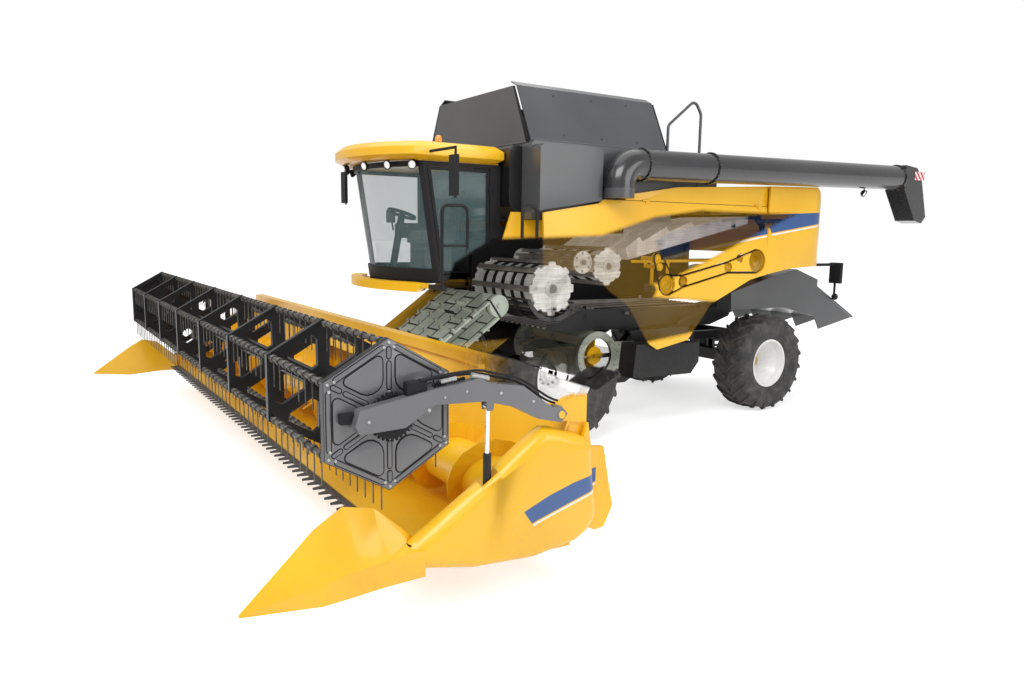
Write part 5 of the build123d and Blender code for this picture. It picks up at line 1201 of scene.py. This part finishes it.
# drive belts over the pulleys, and the pulleys' pressed faces
belts, faces = [], []
for number, (first, second) in enumerate(beltHoles["belts"]):
    (ay, az, ra), (by, bz, rb) = beltHoles["pulleys"][first], beltHoles["pulleys"][second]
    ra, rb = ra + beltHoles["thick"], rb + beltHoles["thick"]
    length = sqrt((by - ay) ** 2 + (bz - az) ** 2)
    lean, spread = atan2(bz - az, by - ay), asin((ra - rb) / length)
    line = []
    for (cy, cz, r), start, end in (((ay, az, ra), pi / 2 - spread, 3 * pi / 2 + spread),
                                    ((by, bz, rb), -pi / 2 + spread, pi / 2 - spread)):
        line += [(beltHoles["x"] + 0.016 * (number % 2),
                  cy + axleShift + r * cos(lean + start + (end - start) * k / 16),
                  cz + r * sin(lean + start + (end - start) * k / 16)) for k in range(17)]
    belts.append(pipe("belt", line + line[:1], beltHoles["thick"], False))
for y, z, r in beltHoles["pulleys"]:
    x = beltHoles["x"] - 0.012
    centre = (y + axleShift, z)
    faces.append(turned("face", [(0, 0.0), (0, r), (0.008, r), (0.010, r - 0.014), (0.002, r - 0.020),
                                 (0.002, r * 0.45), (0.014, r * 0.38), (0.020, r * 0.20), (0.020, 0.0)],
                        centre, 40, x))
    hole = drum("spoke", r * 0.10, (x + 0.001, centre[0], z + r * 0.64), (x + 0.005, centre[0], z + r * 0.64), 14)
    faces.append(ringOf("spokes", rounded(hole, 0.001, 1), centre, 6))
fitted("drive_belts", belts, blackPlastic, "chassis")
fitted("pulley_faces", faces, yellowPaint, "chassis")
print("belts made")

# unloading auger: bolted rings, marker board and work lamp
augerLine = {"x": 1.64, "y": 0.72, "z": 3.56, "rise": 0.13 / 6.03, "rings": (1.06, 2.30, 6.726),
             "circle": 0.206, "bolts": 18}
heads = []
for y in augerLine["rings"]:
    z = augerLine["z"] + augerLine["rise"] * (y - augerLine["y"])
    head = drum("head", 0.010, (0, -0.012, augerLine["circle"]), (0, 0.036, augerLine["circle"]), 6)
    rounded(head, 0.002, 1)
    middle = Matrix.Translation(spot(augerLine["x"], y, z))
    heads.append(repeated("heads", head, [middle @ Matrix.Rotation(a, 4, "Y") for a in turns(augerLine["bolts"])]))
fitted("auger_bolts", heads, darkSteel, "unloading_auger")
board = Finish("markerBoard", Coat_Weight=0.4)
slant = (board.y + board.z) * 9.0
grime = board.noise(12, 4)
stripes = slant.math("FRACT") > 0.5
board.set(Base_Color=stripes.mix((0.86, 0.86, 0.85), (0.72, 0.02, 0.015)), Roughness=0.3 + grime * 0.15)
marker = slab("marker_board", (1.812, 7.02, 3.66), (1.818, 7.30, 3.80), 0.002, 2)
settle(marker, board, "unloading_auger")
cup, lens = roundLamp(spot(1.64, 5.90, 3.40), (1, 0.2, -0.6), 0.055)
stalk = stud("stalk", 0.010, spot(1.635, 5.90, 3.41), spot(1.635, 5.90, 3.50), 12, 0.001, 1)
fitted("auger_lamp", [cup, stalk], blackPlastic, "unloading_auger")
settle(lens, lampGlass, "unloading_auger").name = "auger_lamp_lens"

# rear lamp carriers with their red and amber lenses
rearLamps = {"x": 1.16, "round": (6.03, 1.69), "r": 0.055}
carriers, reds, ambers = [], [], []
for side in (1, -1):
    x = side * rearLamps["x"]
    for store, half, low, high, width, segments in (
            (carriers, 0.02, (4.70, 2.215), (6.00, 2.262), 0.006, 2),
            (carriers, 0.11, (5.98, 1.92), (6.05, 2.27), 0.012, 3),
            (carriers, 0.015, (5.99, 1.70), (6.02, 1.95), 0.004, 2),
            (reds, 0.09, (6.045, 2.08), (6.062, 2.20), 0.006, 3),
            (ambers, 0.09, (6.045, 1.94), (6.062, 2.06), 0.006, 3)):
        store.append(slab("part", (x - half, *low), (x + half, *high), width, segments))
    cup, lens = roundLamp(spot(x, *rearLamps["round"]), (0, 1, 0), rearLamps["r"])
    carriers.append(cup)
    reds.append(lens)
fitted("rear_lamp_carriers", carriers, blackPlastic, "chassis")
fitted("rear_red_lenses", reds, redLens, "chassis")
fitted("rear_amber_lenses", ambers, amberLens, "chassis")
softened("header_ends", "header_end_covers", 0.010, endPaint)
softened("rear_hood", "rear_hood_skin", 0.045, hoodPaint)
print("lamps, auger and covers made")

# tank covers: rubber edge strips on the front and rear ones, studs on the side ones
coverLine = {"strip": [(1.243, 3.790), (0.945, 4.470), (0.978, 4.470), (1.302, 3.800)],
             "front": (-0.4445, -0.4315), "rear": (1.8415, 1.8545), "studs": (0.10, 0.70, 1.30),
             "studFoot": (1.333, 3.812), "studTop": (1.002, 4.490), "studAt": (0.12, 0.86)}
for end in ("front", "rear"):
    low, high = [y + axleShift for y in coverLine[end]]
    strips = []
    for side in (1, -1):
        outline = [(side * x, z) for x, z in coverLine["strip"]]
        strips.append(rounded(prism("strip", outline, low, high, "Y"), 0.002, 2))
    fitted(f"cover_strips_{end}", strips, blackPlastic, f"tank_cover_{end}")
for side, hand in ((1, "left"), (-1, "right")):
    studs = []
    for y in coverLine["studs"]:
        for share in coverLine["studAt"]:
            x, z = [a + (b - a) * share for a, b in zip(coverLine["studFoot"], coverLine["studTop"])]
            studs.append(stud("stud", 0.010, spot(side * x, y, z), spot(side * (x + 0.008), y, z + 0.004), 8))
    fitted(f"cover_studs_{hand}", studs, darkSteel, f"tank_cover_{hand}")
print("tank covers edged")

# sprung coils that hold the tines on their bars
coils = {"first": -4.46, "bay": 8.92 / 7, "perBay": 8, "ring": 0.026, "wire": 0.006, "apart": 0.011, "barAt": 0.490}
clear()
bpy.ops.mesh.primitive_torus_add(major_radius=coils["ring"], minor_radius=coils["wire"], major_segments=8,
                                 minor_segments=4, rotation=(0, radians(90), 0))
loop = bpy.context.object
bpy.ops.object.transform_apply(location=True, rotation=True, scale=True)
step = coils["bay"] / (coils["perBay"] + 0.5)
tineX = [coils["first"] + bay * coils["bay"] + (j + 0.75) * step for bay in range(7) for j in range(coils["perBay"])]
bars = [(reelCentre[0] - coils["barAt"] * sin(a), reelCentre[1] + coils["barAt"] * cos(a)) for a in corners]
places = [Matrix.Translation((x + off * coils["apart"], y, z)) for y, z in bars for x in tineX for off in (-1, 1)]
coilPiece = repeated("tine_coils", loop, places)
settle(coilPiece, tineSteel, "reel", 60)
print("tine coils made")

# camera, floor and lamps
cameraPlace = {"at": (9.176, -7.117, 2.684), "yaw": 56.89, "pitch": 8.37, "roll": 0.84, "lens": 27.07}
cameraData = bpy.data.cameras.new("camera")
cameraData.lens, cameraData.sensor_width = cameraPlace["lens"], 36
cameraData.clip_end = 400
camera = linked(bpy.data.objects.new("camera", cameraData))
camera.matrix_world = (Matrix.Translation(cameraPlace["at"]) @ Matrix.Rotation(radians(cameraPlace["yaw"]), 4, "Z")
                       @ Matrix.Rotation(radians(90 - cameraPlace["pitch"]), 4, "X")
                       @ Matrix.Rotation(radians(cameraPlace["roll"]), 4, "Z"))
bpy.context.scene.camera = camera

studio = {"worldStrength": 0.62, "key": 1000, "fill": 360, "rim": 420, "floorGlow": 0.62}
bpy.ops.object.select_all(action="DESELECT")
bpy.ops.mesh.primitive_plane_add(size=400, location=(0, 0, 0))
floor = bpy.context.object
floor.name = "floor"
floorFinish = Finish("floorPaper", Roughness=0.9)
grain = floorFinish.noise(0.4, 3)
floorFinish.set(Base_Color=grain.mix((0.80, 0.80, 0.80), (0.82, 0.82, 0.82)))
lightPath = floorFinish.place.make("ShaderNodeLightPath").socket.node
seen, glossy, through = [Wire(lightPath.outputs[f"Is {kind} Ray"]) for kind in ("Camera", "Glossy", "Transmission")]
seen = seen | glossy | through
glow = floorFinish.place.make("ShaderNodeEmission", None,
                              {"Color": (1, 1, 1, 1), "Strength": seen * studio["floorGlow"]})
both = floorFinish.place.make("ShaderNodeAddShader", None, {0: Wire(floorFinish.shader.outputs[0]), 1: glow})
floorFinish.tree.links.new(both.socket, floorFinish.tree.nodes["Material Output"].inputs["Surface"])
floor.data.materials.append(floorFinish.material)

world = bpy.data.worlds.new("studio")
bpy.context.scene.world = world
world.use_nodes = True
worldShader = world.node_tree.nodes["Background"]
worldPath = world.node_tree.nodes.new("ShaderNodeLightPath")
worldSeen = Wire(worldPath.outputs["Is Camera Ray"]) | Wire(worldPath.outputs["Is Transmission Ray"])
strength = worldSeen.make("ShaderNodeMix", None, {0: worldSeen, 2: studio["worldStrength"], 3: 1.0})
world.node_tree.links.new(strength.socket, worldShader.inputs["Strength"])
worldShader.inputs["Color"].default_value = (1, 1, 1, 1)


def lamp(name, at, towards, size, watts):
    data = bpy.data.lights.new(name, "AREA")
    data.shape, data.size, data.size_y, data.energy = "RECTANGLE", size[0], size[1], watts
    made = linked(bpy.data.objects.new(name, data))
    made.location = at
    made.rotation_euler = (Vector(towards) - Vector(at)).to_track_quat("-Z", "Y").to_euler()


lamp("keyLamp", (7, -9, 11), (0, -1, 1.5), (9, 6), studio["key"])
lamp("fillLamp", (12, 3, 6), (1, 0, 1.5), (8, 5), studio["fill"])
lamp("topLamp", (-2, 0, 12), (0, 0, 2), (12, 12), studio["rim"])
bpy.context.scene.view_settings.view_transform = "Standard"
print("studio lit")

print("finishing")
